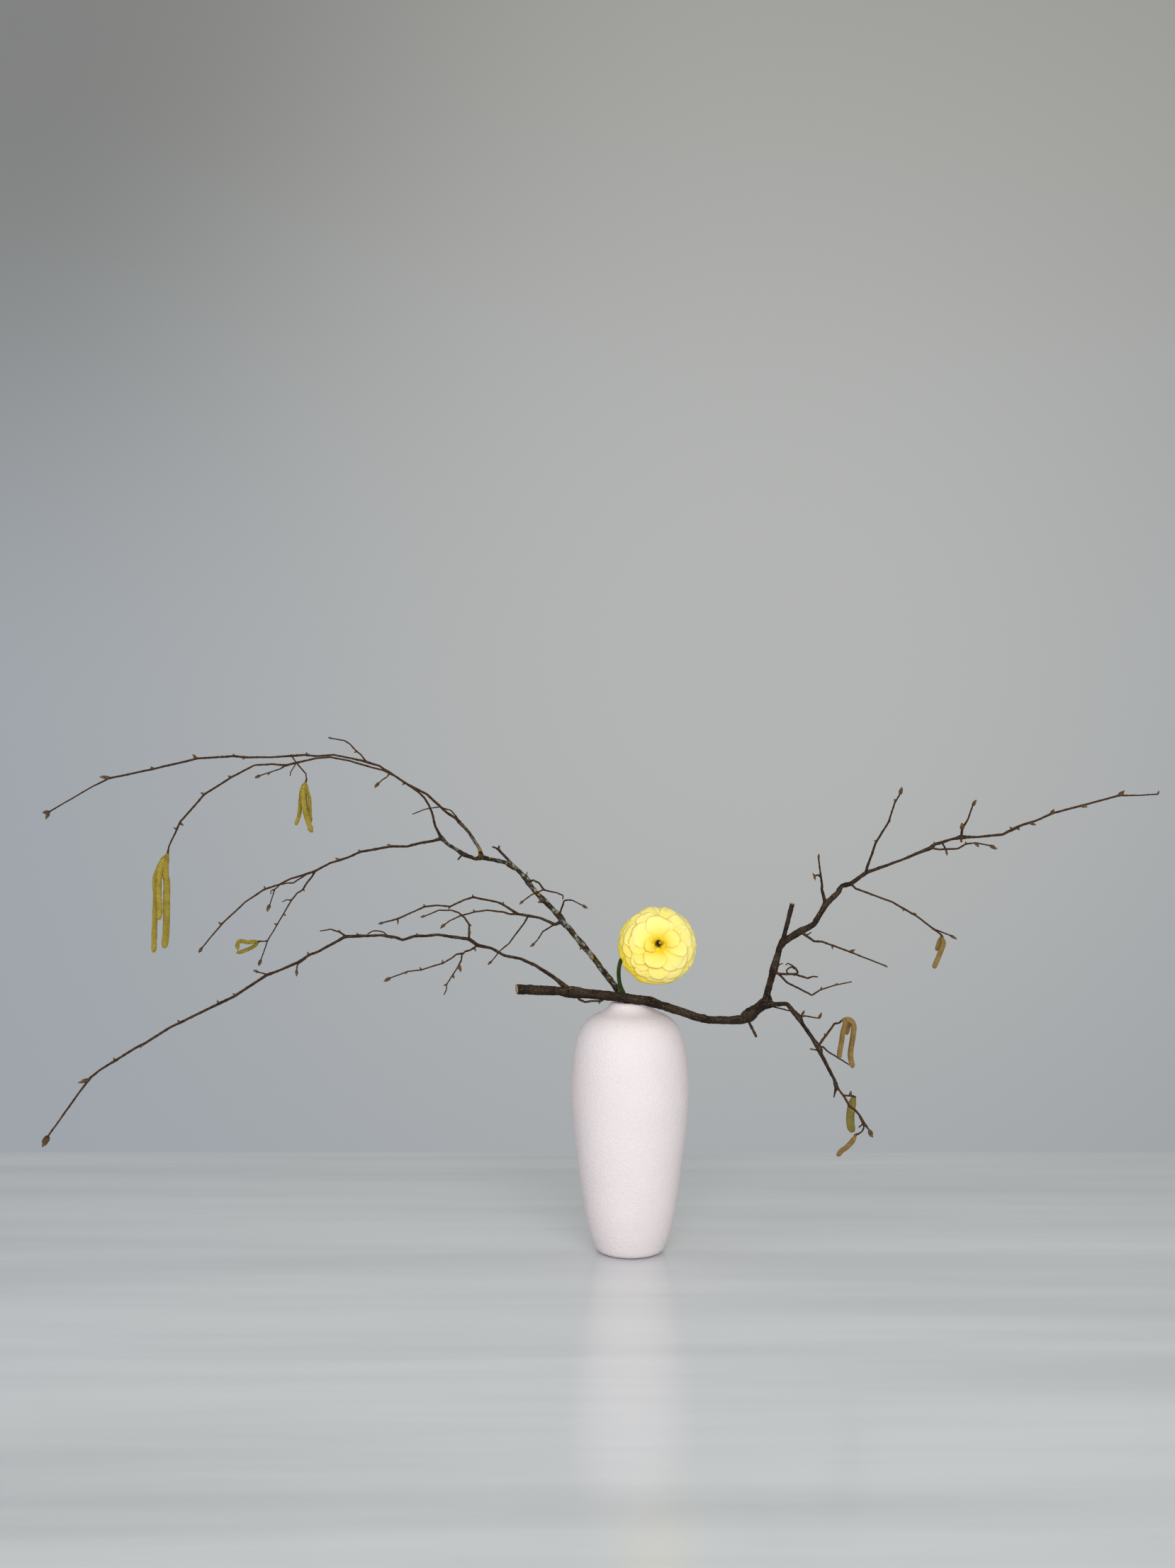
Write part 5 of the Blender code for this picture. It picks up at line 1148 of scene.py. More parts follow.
def close_end(skin, rim, way, radius, cut_flat):
    """Close a twig's end: a rounded tip, or a flat cut that shows pale wood."""
    shrink, rim_rise, tip_rise = (0.86, 0.02, 0.02) if cut_flat else (0.62, 0.45, 0.7)
    ahead = way.normalized() * radius
    middle = sum((skin.corners[i] for i in rim), Vector()) / len(rim) / MM
    values = {"girth": radius, "cut": 1.0 if cut_flat else 0.0, "grain": (0.0, 0.0, 0.0)}
    ring = skin.ring([middle.lerp(skin.corners[i] / MM, shrink) + ahead * rim_rise for i in rim], **values)
    skin.bridge(rim, ring)
    skin.fan(ring, skin.add(middle + ahead * tip_rise, **values))


def grow_branch(name, growths, settings, lichen_cover, cuts):
    """A whole branch in bark, with its buds."""
    chance = random.Random(f"{name}{SEED}")
    skin = Skin()
    for twig in growths:
        skin_twig(skin, twig, growths, settings, chance, cuts.get(twig["name"], (False, False)))
    bark = bark_finish(f"{name}_bark", settings, lichen_cover)
    placed(skin.build(f"{name}_bark", bark), f"branch_{name}")
    seeds = Skin()
    for twig in growths:
        for i, (share, angle, length, *size) in enumerate(twig["buds"]):
            radius = size[0] if size else max(0.85, 0.25 * length)
            turn = math.radians(angle)
            aim = Vector((math.cos(turn), -0.35 if i % 2 == 0 else 0.35, math.sin(turn)))
            spread = Vector((radius, radius, length)) * MM
            seeds.add(along(twig["points"], share), aim=aim.normalized(), size=spread)
    buds = run_tree(seeds.build(f"{name}_buds"), planting_tree(), bud_shape(), bud_finish(), size_spread=0.06)
    placed(buds, None)


def bud_shape():
    """One bud, 1 long and 1 in radius: an egg with a pointed tip, wrapped in overlapping scales."""
    skin = Skin()
    heart = len(BUD_LAYERS) - 1
    for layer, (low, high) in enumerate(BUD_LAYERS):
        wrap = layer < heart
        rings = []
        for step in range(BUD_STEPS + 1):
            rise = step / BUD_STEPS
            share = low + (high - low) * rise
            girth = (1.0 - 0.075 * layer) * math.sin(math.pi * min(0.999, 0.16 + 0.84 * share) ** 0.85) ** 0.8
            ring = []
            for turn in around(10):
                turn += 0.9 * layer
                slant = 0.13 * math.cos(turn - 2.4 * layer) * rise if wrap else 0.0
                spot = spoke(turn, ALONG_X, ALONG_Y) * girth + ALONG_Z * (share + slant)
                edge = 1.0 if wrap and step == BUD_STEPS else 0.0
                ring.append(skin.add(spot / MM, rise=share, edge=edge))
            rings.append(ring)
        foot = skin.add(ALONG_Z * low / MM, rise=low, edge=0.0)
        if wrap:
            rim = [skin.corners[i] for i in rings[-1]]
            inside = [Vector((c.x * 0.86, c.y * 0.86, c.z - 0.02)) / MM for c in rim]
            rings.append(skin.ring(inside, rise=0.5, edge=1.0))
            tip = skin.add(ALONG_Z * (high - 0.1) / MM, rise=0.5, edge=1.0)
        else:
            tip = skin.add(ALONG_Z * 1.06 / MM, rise=1.0, edge=0.0)
        skin.close(rings, foot, tip)
    return skin.build("bud_shape")


# ---------------------------------------------------------------- catkins

SCALE_OUTLINE = [(0.0, -0.42), (0.42, -0.18), (0.38, 0.28), (0.0, 0.56), (-0.38, 0.28), (-0.42, -0.18)]


def catkin_scale():
    """One catkin scale, 1 long: a rounded thick shield that stands along z and leans along y."""
    skin = Skin()
    rings = [[], [], []]
    for x, y in SCALE_OUTLINE:
        rings[0].append(skin.add(Vector((x * 0.4, y * 0.4 - 0.1, -0.3)) / MM, rise=0.0))
        rings[1].append(skin.add(Vector((x, y, 0.06 * y)) / MM, rise=0.35 + 0.5 * (y + 0.42)))
        face = Vector((x * 0.72, y * 0.75, 0.1 + 0.12 * y))
        rings[2].append(skin.add(face / MM, rise=0.45 + 0.55 * (y + 0.42)))
    foot, tip = Vector((0, -0.1, -0.25)) / MM, Vector((0, 0.05, 0.15)) / MM
    skin.close(rings, skin.add(foot, rise=0.0), skin.add(tip, rise=0.62))
    return skin.build("catkin_scale")


def hang_bunch(name, settings, finishes, twigs):
    """One bunch of catkins with the short stalk that it hangs from."""
    twig_name, kind = BUNCHES[name]
    paths = Skin()
    for radius, points in CATKINS[name]:
        route = drawn([Vector(point) for point in points], [radius] * len(points), 1.0)
        total = route[-1][2]
        first = len(paths.corners)
        for spot, _, place in route:
            swell = min(1.0, 0.42 + 0.28 * place / radius) * min(1.0, 0.45 + 0.5 * (total - place) / radius)
            paths.add(spot, thick=radius * swell * MM)
        paths.edges += [(i, i + 1) for i in range(first, len(paths.corners) - 1)]
    loose = kind == "open"
    girth = max(radius for radius, _ in CATKINS[name]) * MM
    cover = settings.scale_cover * (0.55 if loose else 1.0)
    bunch = run_tree(
        paths.build(f"catkins_{name}_scales"), catkin_tree(), catkin_scale(), finishes[kind],
        scale_length=settings.scale_length,
        spacing=0.75 * settings.scale_length ** 2 / (cover * 2 * math.pi * girth),
        lift=0.12 if loose else -0.3, ragged=0.32 if loose else 0.08)
    placed(bunch, f"catkins_{name}")
    before, end = twigs[twig_name]["points"][-2:]
    way = (end - before).normalized()
    top = Vector(CATKINS[name][0][1][0])
    route = [end + way * SEAT_GAP, end + way * 1.0, top, top + (top - end).normalized() * 1.5]
    stem = growth("stalk", None, [(*spot, size) for spot, size in zip(route, (0.62, 0.62, 0.95, 0.6))])
    stalk = Skin()
    skin_twig(stalk, stem, [stem], bpy.context.scene.ikebana_branch, random.Random(SEED))
    placed(stalk.build(f"catkins_{name}_stalk", finishes["stalk"]), None)


# ---------------------------------------------------------------- the bloom

BLOOM_ACROSS = ALONG_Z.cross(BLOOM_AXIS).normalized()
BLOOM_UPRIGHT = BLOOM_AXIS.cross(BLOOM_ACROSS)
PETAL_ROWS, PETAL_COLUMNS = 15, 13
SEPAL_ROWS, SEPAL_COLUMNS = 8, 7
STAMEN_BEND = 0.28          # how far a stamen's tip leans, as a share of its length
HEART = (                   # (height, radius) up the outside of the dark heart and down into it
    (0, 2.7), (1.6, 2.8), (3.4, 2.6), (4.6, 2.5), (5.4, 2.1), (5.2, 1.5), (3.0, 1.2),
)
STEM_HEAD = ((0.1, 4.5), (1.8, 4.7), (3.6, 2.6), (5.5, 1.85))   # (depth behind the core, radius)


def bloom_spoke(turn):
    """The unit vector at a turn about the bloom's axis."""
    return spoke(turn, BLOOM_ACROSS, BLOOM_UPRIGHT)


def bloom_point(angle, turn, distance):
    """A point of the bloom's dome: angle from the axis, turn about it, distance from the centre."""
    a = math.radians(angle)
    ahead = BLOOM_AXIS * distance * math.cos(a) * BLOOM_DEPTH
    return BLOOM_CENTRE + ahead + bloom_spoke(math.radians(turn)) * distance * math.sin(a)


def add_petal(skin, shape, chance, thickness):
    """One cupped petal with a rounded, slightly waved rim, as a thin closed blade."""
    turn, root_angle, tip_angle, root_reach, reach, half_width, tint, curl = shape
    wave = chance.uniform(0, 6.28)
    lean = chance.uniform(-0.5, 0.5)
    sway = chance.uniform(-2.0, 2.0)
    outer, inner = [], []
    for r in range(PETAL_ROWS):
        share = r / (PETAL_ROWS - 1)
        distance = root_reach + (reach - root_reach) * math.sin(share * math.pi / 2) ** 0.8
        width = half_width * (0.34 + 0.66 * math.sin(min(1.0, share * 1.3) * math.pi / 2))
        side_turn = turn + sway * share
        for c in range(PETAL_COLUMNS):
            u = -1 + 2 * c / (PETAL_COLUMNS - 1)
            rim = math.sqrt(max(0.0, 1 - abs(u) ** 2.3))
            frill = 0.30 * math.sin(4.3 * u + 2 * wave) + 0.22 * math.sin(9.1 * u + 3 * wave)
            back_off = (1 - rim) * share ** 1.5 * half_width + frill * share ** 4
            angle = root_angle + (tip_angle - root_angle) * share - math.degrees(back_off / reach)
            centre = bloom_point(angle, side_turn, distance)
            ahead = (bloom_point(angle + 1.5, side_turn, distance) - centre).normalized()
            arm = centre - BLOOM_CENTRE
            across = ahead.cross(arm.normalized()).normalized()
            normal = across.cross(ahead).normalized()
            bend = u * width / distance
            spot = BLOOM_CENTRE + arm * math.cos(bend) + across * distance * math.sin(bend)
            ripple = (0.52 * math.sin(2.6 * u + wave) + 0.2 * math.sin(6.5 * u + 2 * wave)) * share ** 2
            turn_up = curl * share ** 4 * (1 - 0.4 * u * u)
            spot += normal * (u * lean + ripple + turn_up - 0.55 * u ** 4)
            blade = (u * 0.5 + 0.5, share, tint)
            outer.append(skin.add(spot + normal * thickness / 2, blade=blade))
            inner.append(skin.add(spot - normal * thickness / 2, blade=blade))
    skin.blade(outer, inner, PETAL_COLUMNS)


# petals of the bloom's face: turn, angle from the axis at root and tip, distance from the centre at
# root and tip, half width, depth of colour, how far the rim curls outwards
# the depth of colour is greater on the lower left: partly the petals' own colour, partly painted shade
FACE_PETALS = [
    (192, 5, 25, 18.5, 28.0, 6.0, 0.75, 0.4), (95, 8, 47, 19.0, 31.4, 9.6, 0.12, 0.2),
    (151, 8, 50, 18.8, 31.2, 11.0, 0.15, 0.1), (-104, 12, 42, 18.5, 31.2, 9.6, 0.42, 0.2),
    (18, 8, 35, 18.5, 30.8, 7.0, 0.45, 0.1), (-16, 12, 49, 18.5, 31.6, 6.0, 0.25, 1.0),
    (71, 14, 45, 18.5, 30.2, 7.0, 0.16, 0.1), (182, 12, 53, 18.0, 30.6, 9.0, 0.45, 0.4),
    (-48, 12, 56, 18.5, 30.6, 11.0, 0.22, 0.2), (210, 18, 53, 18.5, 30.6, 8.5, 0.5, 0.3),
    (46, 24, 69, 19.0, 31.6, 8.0, 0.08, 0.3), (17, 26, 68, 19.0, 31.3, 10.0, 0.12, 0.2),
    (-36, 26, 62, 19.0, 31.2, 9.0, 0.2, 0.3), (119, 26, 64, 19.0, 31.4, 8.0, 0.1, 0.2),
    (-62, 30, 74, 19.0, 31.4, 10.0, 0.22, 0.3), (-18, 34, 74, 19.0, 31.0, 9.0, 0.15, 0.2),
    (227, 28, 62, 19.0, 31.2, 8.5, 0.4, 0.4), (-88, 28, 66, 19.0, 31.0, 9.5, 0.3, 0.3),
    (242, 32, 70, 19.0, 31.4, 8.0, 0.45, 0.3), (-93, 38, 78, 19.0, 31.4, 9.0, 0.4, 0.3),
    (70, 40, 85, 19.0, 32.0, 7.0, 0.18, 0.4), (87, 42, 84, 19.0, 31.6, 6.0, 0.25, 0.2),
    (102, 40, 88, 19.0, 32.4, 8.0, 0.2, 0.3), (-70, 40, 82, 19.0, 31.6, 8.0, 0.3, 0.3),
    (134, 34, 78, 19.0, 31.6, 7.5, 0.3, 0.4), (162, 28, 66, 19.0, 31.4, 9.5, 0.3, 0.4),
    (186, 32, 68, 19.0, 31.2, 8.5, 0.55, 0.5), (150, 38, 78, 19.0, 31.5, 8.0, 0.5, 0.4),
    (172, 40, 80, 19.0, 31.4, 8.0, 0.65, 0.5), (204, 36, 72, 19.0, 31.3, 8.0, 0.7, 0.5),
    (192, 44, 86, 19.0, 31.8, 8.0, 0.85, 0.4), (214, 42, 82, 19.0, 31.6, 8.0, 0.9, 0.4),
    (35, 44, 84, 19.0, 31.8, 8.0, 0.15, 0.2), (-2, 44, 85, 19.0, 32.0, 8.5, 0.15, 0.2),
]
# the side away from the light: its deeper yellow is partly the petals' own colour, partly painted shade
DEEP_AND_SHADED_SIDE = 208.0           # the side of the bloom whose petals are of a deeper yellow
# rows round the rim and the back: count, turn of the first, then as above from the root's angle on
RIM_ROWS = [
    (12, 8, 50, 91, 19.0, 32.3, 8.8, 0.4, 0.3), (11, 24, 62, 100, 18.5, 32.2, 9.5, 0.5, 0.1),
    (10, 5, 76, 110, 17.5, 31.6, 11.0, 0.55, 0.0), (8, 20, 90, 122, 16.5, 30.4, 13.0, 0.6, -0.2),
    (7, 3, 104, 137, 16.0, 27.0, 12.5, 0.65, -0.3),
]


def open_bloom(settings):
    """The petals of the face and of the rim round a small core."""
    chance = random.Random(SEED)
    skin = Skin()
    thickness = settings.petal_thickness / MM
    for shape in FACE_PETALS:
        add_petal(skin, shape, chance, thickness)
    for count, first_turn, root, tip, root_reach, reach, half_width, tint, curl in RIM_ROWS:
        for i in range(count):
            turn = first_turn + 360 * (i + chance.uniform(-0.12, 0.12)) / count
            varied = half_width * chance.uniform(0.9, 1.1)
            lift = chance.uniform(-0.3, 0.3)
            # petals on that side are deepened: partly their own colour, partly painted shade away from the
            # light
            deeper = min(1.0, tint + 0.5 * max(0.0, math.cos(math.radians(turn - DEEP_AND_SHADED_SIDE))))
            shape = (turn, root, tip, root_reach, reach + lift, varied, deeper, curl)
            add_petal(skin, shape, chance, thickness)
    finish = petal_finish(settings)
    petals = skin.build("bloom_petals", finish)
    placed(bloom_core(finish), None)
    placed(petals, "flower_petals")


def bloom_core(finish):
    """The hidden core that the petals stand out of, with the well for the eye."""
    outline = [(3.4, EYE_FLOOR), (3.9, EYE_FLOOR + 1.4)]        # (radius, height) from front to back
    for angle in range(14, 153, 12):
        a = math.radians(angle)
        height = max(CORE_RADIUS * math.cos(a) * BLOOM_DEPTH, -CORE_BACK)
        outline.append((CORE_RADIUS * math.sin(a) * 0.92, height))
    skin = Skin()
    rings = []
    for radius, height in outline:
        ring = circle(BLOOM_CENTRE + BLOOM_AXIS * height, radius, 32, BLOOM_ACROSS, BLOOM_UPRIGHT)
        # the core takes the deep yellow of the petals' roots, painted shade between the petals
        rings.append(skin.ring(ring, blade=(0.5, 0.1, 0.8)))
    ends = [BLOOM_CENTRE + BLOOM_AXIS * height for height in (EYE_FLOOR, -CORE_BACK)]
    skin.close(rings, *skin.ring(ends, blade=(0.5, 0.0, 1.0)))
    return skin.build("bloom_core", finish)


def stamen_shape():
    """One stamen, 1 long: a bent thread with an oval head."""
    skin = Skin()
    rings = []
    for share, girth in ((0, 0.05), (0.35, 0.045), (0.62, 0.05), (0.70, 0.13), (0.84, 0.16), (0.97, 0.09)):
        middle = Vector((STAMEN_BEND * share * share, 0, share))
        rings.append(skin.ring(circle(middle / MM, girth / MM, 6), rise=share))
    foot, tip = Vector((0, 0, -0.02)) / MM, Vector((STAMEN_BEND, 0, 1.02)) / MM
    skin.close(rings, skin.add(foot, rise=0.0), skin.add(tip, rise=1.0))
    return skin.build("stamen_shape")


def add_ball(skin, centre, radius):
    """A small ball, green on the eye's rise value."""
    rings = []
    for step in range(1, 7):
        polar = math.pi * step / 7
        middle = centre + ALONG_Z * (radius * math.cos(polar))
        rings.append(skin.ring(circle(middle, radius * math.sin(polar), 12), rise=1.0))
    skin.close(rings, *skin.ring([centre + ALONG_Z * radius, centre - ALONG_Z * radius], rise=1.0))


def set_eye(settings):
    """The dark heart, open to one side, the green ball in it and the stamens beside it."""
    seat = BLOOM_CENTRE + BLOOM_AXIS * (EYE_FLOOR + SEAT_GAP)
    skin = Skin()
    rings = []
    for height, radius in HEART:
        ring = []
        for turn in around(20):
            dip = 1.6 * max(0.0, math.cos(turn + 0.5)) if height > 3.2 else 0.0
            ring.append(seat + BLOOM_AXIS * (height - dip) + radius * bloom_spoke(turn))
        rings.append(skin.ring(ring, rise=0.0))
    skin.close(rings, *skin.ring([seat, seat + BLOOM_AXIS * 3.0], rise=0.0))
    add_ball(skin, seat + BLOOM_AXIS * 4.9 + BLOOM_ACROSS * 1.1 + BLOOM_UPRIGHT * 0.2, 1.35)
    placed(skin.build("bloom_heart", eye_finish()), "flower_centre")
    seeds = Skin()
    chance = random.Random(SEED)
    for i in range(settings.stamens):
        turn = -0.55 + (chance.uniform(-0.75, 0.75) if i % 3 else GOLDEN_TURN * i)
        out = bloom_spoke(turn)
        lean = chance.uniform(0.8, 1.5)
        foot = seat + BLOOM_AXIS * chance.uniform(3.0, 4.2) + out * 2.3
        size = Vector((4.4, 4.4, chance.uniform(3.2, 4.6))) * MM
        seeds.add(foot, aim=(BLOOM_AXIS + out * lean).normalized(), size=size)
    stamens = run_tree(
        seeds.build("bloom_stamens"), planting_tree(), stamen_shape(), stamen_finish(), size_spread=0.1)
    placed(stamens, None)


def raise_stem():
    """The green stem, its swollen head and the sepals under the bloom."""
    neck = BLOOM_CENTRE - BLOOM_AXIS * (CORE_BACK + SEAT_GAP)
    route = [neck - BLOOM_AXIS * depth for depth, _ in STEM_HEAD] + [Vector(point) for point in FLOWER_STEM]
    sizes = [radius for _, radius in STEM_HEAD] + [FLOWER_STEM_RADIUS] * len(FLOWER_STEM)
    spots = drawn(route, sizes, 1.6)
    axes = carried_axes(headings([spot for spot, _, _ in spots]))
    skin = Skin()
    rings = []
    for (spot, radius, place), (across, upright) in zip(spots, axes):
        ring = []
        for turn in around(20):
            ribbed = radius * (1 + 0.02 * math.cos(5 * turn))
            ring.append(skin.add(
                spot + ribbed * spoke(turn, across, upright),
                grain=(math.cos(turn) * radius, math.sin(turn) * radius, place)))
        rings.append(ring)
    skin.close(rings, *skin.ring([spots[0][0], spots[-1][0]], grain=(0.0, 0.0, 0.0)))
    for i in range(5):
        add_sepal(skin, math.radians(18 + 72 * i))
    placed(skin.build("bloom_stem", stem_finish()), "flower_stem")


def add_sepal(skin, turn):
    """One green sepal behind the petals."""
    out = bloom_spoke(turn)
    sideways = BLOOM_AXIS.cross(out)
    hub = BLOOM_CENTRE - BLOOM_AXIS * (CORE_BACK + SEAT_GAP + 1.6)
    outer, inner = [], []
    for r in range(SEPAL_ROWS):
        share = r / (SEPAL_ROWS - 1)
        reach = 1.5 + 15.5 * share
        width = 1.4 + 2.3 * math.sin(math.pi * min(1.0, share * 1.02) ** 0.8) - 0.9 * share
        back = 0.8 * math.sin(share * 2.4)
        for c in range(SEPAL_COLUMNS):
            u = -1 + 2 * c / (SEPAL_COLUMNS - 1)
            spot = hub + out * reach + sideways * u * max(0.3, width) - BLOOM_AXIS * (back - 0.5 * abs(u))
            grain = (u * 3, 0.0, reach)
            outer.append(skin.add(spot + BLOOM_AXIS * 0.3, grain=grain))
            inner.append(skin.add(spot - BLOOM_AXIS * 0.3, grain=grain))
    skin.blade(outer, inner, SEPAL_COLUMNS)


# ---------------------------------------------------------------- the stage

def table_finish(settings):
    """Polished pale table top, with soft streaks along x and a painted band of light across its middle."""
    recipe = Recipe("pale_table", 0.19, coat=0.7, coat_roughness=0.19)
    place, base = recipe.place, settings.floor_colour
    narrow = recipe.noise(recipe.stretched(place, (0.7, 9.0, 1.0)), 1.6, 4.0)
    broad = recipe.noise(recipe.stretched(place, (0.25, 2.6, 1.0)), 1.3, 2.0)
    streaks = recipe.maths("ADD", recipe.times(narrow, 0.55), recipe.times(broad, 0.45))
    depth = recipe.parts(place)[1]
    # painted light: a band 14% lighter across the table just in front of the vase, fading towards the front
    # and back
    ends = recipe.maths(
        "MAXIMUM", recipe.ramp(depth, -0.10, 0.24), recipe.ramp(depth, -0.50, -0.20, invert=True))
    colour = recipe.mix(ends, shade(base, 1.14), base)
    darker = recipe.mix(0.2, colour, (0.0, 0.0, 0.03))
    return recipe.finish(recipe.mix(recipe.ramp(streaks, 0.34, 0.66), colour, darker))


def wall_finish():
    """The far wall, glowing with painted light: a soft bright field that darkens upwards and to the left,
    bluish low down.
    """
    # the wall glows by itself: all of its colour is painted light
    recipe = Recipe("far_wall", 1.0, specular=0.0, emission=1.0)
    across, _, upright = recipe.parts(recipe.place)
    # painted light: darker high up and to the left, bluish low down
    high = recipe.mix(recipe.ramp(across, -2.0, 0.6), (0.222, 0.227, 0.222), (0.335, 0.332, 0.312))
    low = recipe.mix(recipe.ramp(across, -1.8, 1.8), (0.348, 0.376, 0.410), (0.332, 0.356, 0.382))
    base = recipe.mix(recipe.ramp(upright, 0.55, 2.8), low, high)
    # painted light: a brighter glow round a point right of and above the arrangement, fading with distance
    feeds = {0: recipe.stretched(recipe.place, (1.0, 0.0, 1.0)), 1: (0.55, 0.0, 0.85)}
    away = recipe.add("ShaderNodeVectorMath", feeds, "Value", operation="DISTANCE")
    base = recipe.mix(recipe.ramp(away, 0.2, 3.1, invert=True), base, (0.466, 0.472, 0.462), 0.9)
    recipe.feed(recipe.shader["Emission Color"], base)
    return recipe.finish((0.0, 0.0, 0.0))


def flat_panel(name, corners, finish):
    """A flat stage panel."""
    mesh = bpy.data.meshes.new(name)
    mesh.from_pydata(corners, [], [(0, 1, 2, 3)])
    mesh.materials.append(finish)
    shown(name, mesh)


def area_light(name, place, size, power, colour=(1, 1, 1)):
    """A soft light aimed at the arrangement, which doesn't mirror in the table."""
    lamp = bpy.data.lights.new(name, "AREA")
    lamp.shape = "RECTANGLE"
    lamp.size, lamp.size_y = size
    lamp.energy = power
    lamp.color = colour
    made = shown(name, lamp)
    made.location = place
    made.rotation_euler = (Vector((0, 0, 0.2)) - Vector(place)).to_track_quat("-Z", "Y").to_euler()
    made.visible_glossy = False


def set_stage(settings):
    """A pale table top before a far wall, soft lights and the camera."""
    scene = bpy.context.scene
    side, back, top = 2.4, 0.35, -0.0005
    table = [(-side, -side, top), (side, -side, top), (side, back, top), (-side, back, top)]
    flat_panel("table_top", table, table_finish(settings))
    wall = [(-7.0, 4.0, -3.0), (7.0, 4.0, -3.0), (7.0, 4.0, 6.0), (-7.0, 4.0, 6.0)]
    flat_panel("far_wall", wall, wall_finish())
    scene.world = bpy.data.worlds.new("soft_room")
    scene.world.use_nodes = True
    light = scene.world.node_tree.nodes["Background"].inputs["Color"]
    light.default_value = (*settings.room_colour, 1.0)
    power = settings.light_power
    area_light("front_window", (0.2, -2.1, 0.75), (1.7, 1.5), power)
    area_light("left_fill", (-1.8, -0.7, 0.9), (1.2, 1.2), power * 0.12, (0.95, 0.97, 1.0))
    camera = bpy.data.cameras.new("view")
    camera.sensor_width = 36.0
    camera.lens = 35.805
    scene.camera = shown("view", camera)
    scene.camera.location = (-0.036, -1.32, 0.394)
    scene.camera.rotation_euler = (math.pi / 2, 0, 0)
    scene.view_settings.view_transform = "Standard"


# ---------------------------------------------------------------- operators

class IKEBANA_OT_vase(Operator):
    """Turn the ceramic vase"""
    bl_idname = "ikebana.vase"
    bl_label = "Turn the vase"

    def execute(self, context):
        turn_vase(context.scene.ikebana_vase)
        return {"FINISHED"}


class IKEBANA_OT_water(Operator):
    """Give the water in the vase its finish"""
    bl_idname = "ikebana.water"
    bl_label = "Fill the water"

    def execute(self, context):
        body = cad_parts["water"]
        body.data.materials.clear()
        body.data.materials.append(water_finish())
        return {"FINISHED"}


class IKEBANA_OT_low_branch(Operator):
    """Grow the low branch that lies across the mouth"""
    bl_idname = "ikebana.low_branch"
    bl_label = "Grow the low branch"

    def execute(self, context):
        cut = {"low_trunk": (True, False), "crown_stub": (False, True), "low_stub_dark": (False, True)}
        grow_branch("low", LOW_GROWTHS, context.scene.ikebana_branch, 0.0, cut)
        return {"FINISHED"}


class IKEBANA_OT_high_branch(Operator):
    """Grow the upright branch with its long arch"""
    bl_idname = "ikebana.high_branch"
    bl_label = "Grow the upright branch"

    def execute(self, context):
        foot = growth("foot", (HIGH_FOOT_RADIUS, HIGH_FOOT_RADIUS), HIGH_FOOT)
        cut = {"foot": (False, True), "dead_stub": (False, True)}
        grow_branch(
            "high", [*HIGH_GROWTHS, foot], context.scene.ikebana_branch, 0.11, cut)
        return {"FINISHED"}


class IKEBANA_OT_catkins(Operator):
    """Hang the catkins on their twigs"""
    bl_idname = "ikebana.catkins"
    bl_label = "Hang the catkins"

    def execute(self, context):
        settings = context.scene.ikebana_catkin
        finishes = {
            "open": catkin_finish("open_catkin", settings.open_colour, (0.70, 0.58, 0.13)),
            "closed": catkin_finish("closed_catkin", settings.closed_colour, (0.42, 0.28, 0.11)),
            "green": catkin_finish("green_catkin", (0.22, 0.165, 0.03), (0.42, 0.36, 0.11)),
            "stalk": bark_finish("catkin_stalk", context.scene.ikebana_branch, 0.0),
        }
        twigs = {item["name"]: item for item in LOW_GROWTHS + HIGH_GROWTHS}
        for name in BUNCHES:
            hang_bunch(name, settings, finishes, twigs)
        return {"FINISHED"}


class IKEBANA_OT_bloom(Operator):
    """Open the petals of the bloom"""
    bl_idname = "ikebana.bloom"
    bl_label = "Open the bloom"

    def execute(self, context):
        open_bloom(context.scene.ikebana_bloom)
        return {"FINISHED"}


class IKEBANA_OT_eye(Operator):
    """Set the dark heart and the stamens in the bloom"""
    bl_idname = "ikebana.eye"
    bl_label = "Set the eye"

    def execute(self, context):
        set_eye(context.scene.ikebana_bloom)
        return {"FINISHED"}


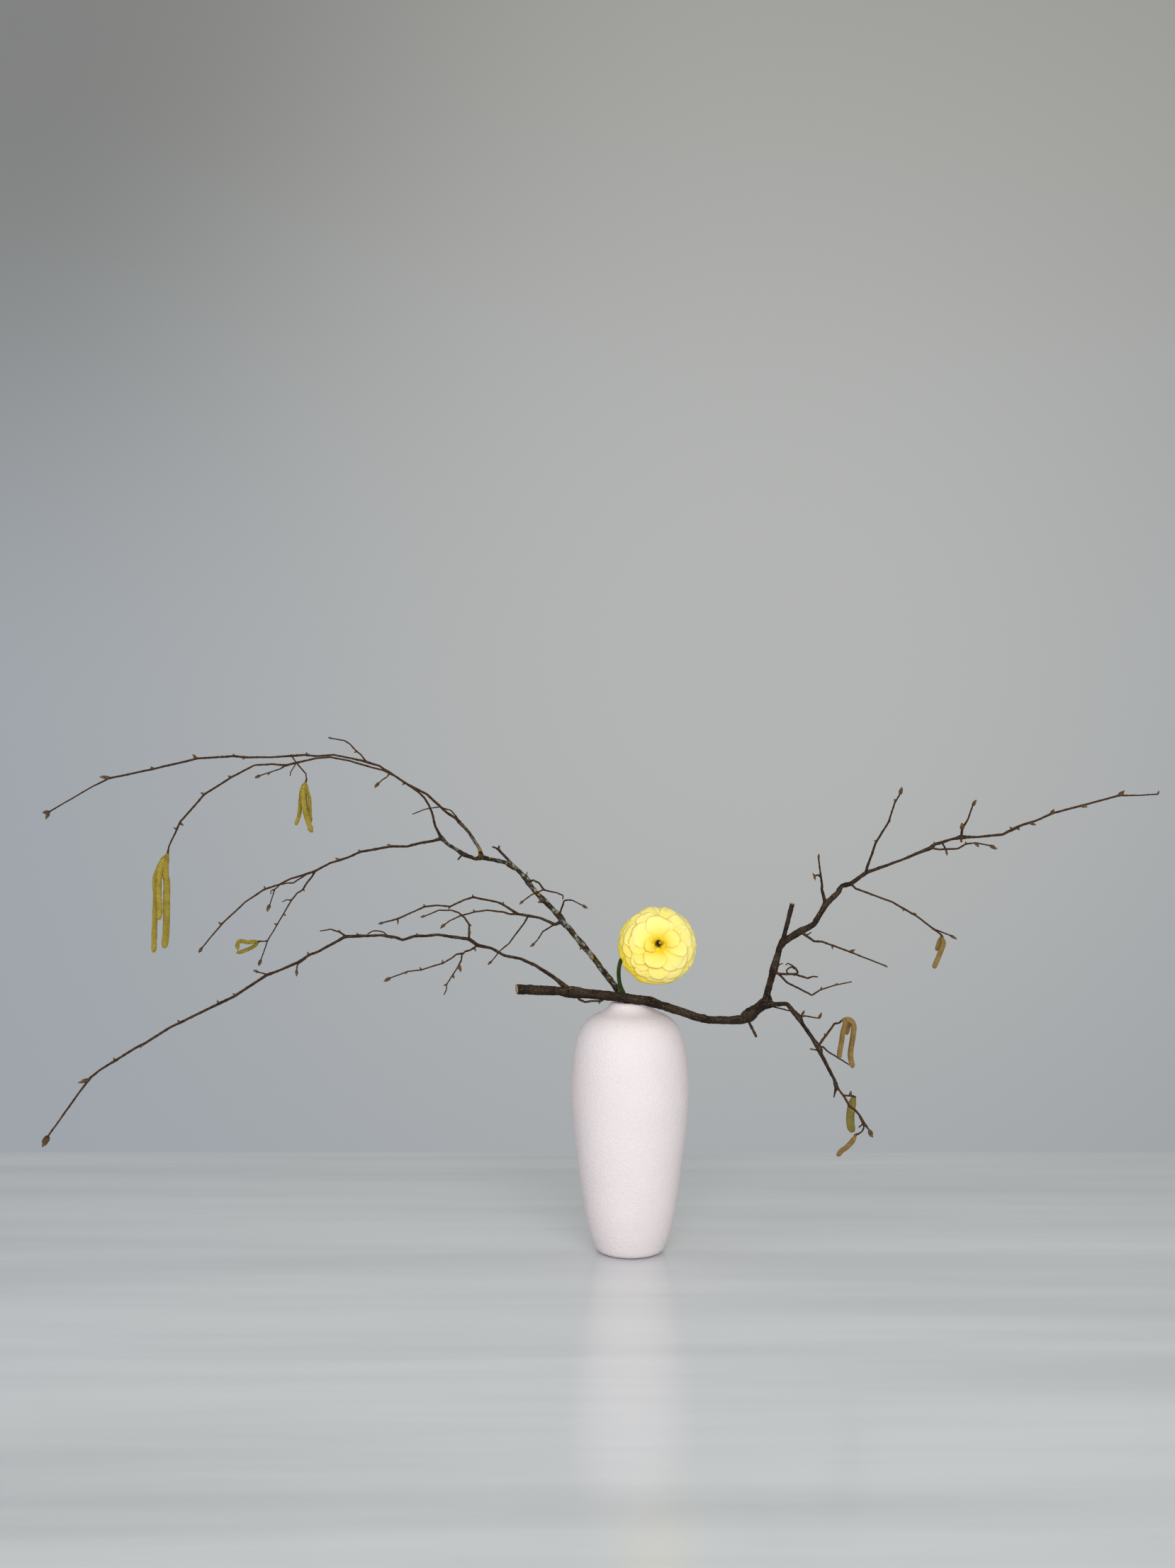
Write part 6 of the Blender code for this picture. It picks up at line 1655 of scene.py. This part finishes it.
class IKEBANA_OT_stem(Operator):
    """Raise the green stem under the bloom"""
    bl_idname = "ikebana.stem"
    bl_label = "Raise the stem"

    def execute(self, context):
        raise_stem()
        return {"FINISHED"}


class IKEBANA_OT_stage(Operator):
    """Set the table, the backdrop, the lights and the camera"""
    bl_idname = "ikebana.stage"
    bl_label = "Set the stage"

    def execute(self, context):
        set_stage(context.scene.ikebana_stage)
        return {"FINISHED"}


class IKEBANA_PT_panel(Panel):
    """Pieces of the arrangement in the order they are made"""
    bl_label = "Ikebana arrangement"
    bl_space_type = "VIEW_3D"
    bl_region_type = "UI"
    bl_category = "Ikebana"

    def draw(self, context):
        for title in SETTINGS:
            box = self.layout.box()
            group = getattr(context.scene, title)
            for name in group.__annotations__:
                box.prop(group, name)
        for piece in OPERATORS:
            self.layout.operator(piece.bl_idname)


SETTINGS = {
    "ikebana_vase": VaseSettings, "ikebana_branch": BranchSettings, "ikebana_catkin": CatkinSettings,
    "ikebana_bloom": BloomSettings, "ikebana_stage": StageSettings,
}
OPERATORS = (
    IKEBANA_OT_stage, IKEBANA_OT_vase, IKEBANA_OT_water, IKEBANA_OT_low_branch, IKEBANA_OT_high_branch,
    IKEBANA_OT_catkins, IKEBANA_OT_bloom, IKEBANA_OT_eye, IKEBANA_OT_stem,
)


def register():
    """Register the settings, the operators and the panel."""
    for title, group in SETTINGS.items():
        bpy.utils.register_class(group)
        setattr(bpy.types.Scene, title, PointerProperty(type=group))
    for piece in OPERATORS:
        bpy.utils.register_class(piece)
    bpy.utils.register_class(IKEBANA_PT_panel)


def unregister():
    """Undo register."""
    bpy.utils.unregister_class(IKEBANA_PT_panel)
    for piece in reversed(OPERATORS):
        bpy.utils.unregister_class(piece)
    for title, group in SETTINGS.items():
        delattr(bpy.types.Scene, title)
        bpy.utils.unregister_class(group)


def main():
    """Make the whole arrangement."""
    register()
    for piece in OPERATORS:
        family, action = piece.bl_idname.split(".")
        getattr(getattr(bpy.ops, family), action)()


if __name__ == "__main__":
    main()
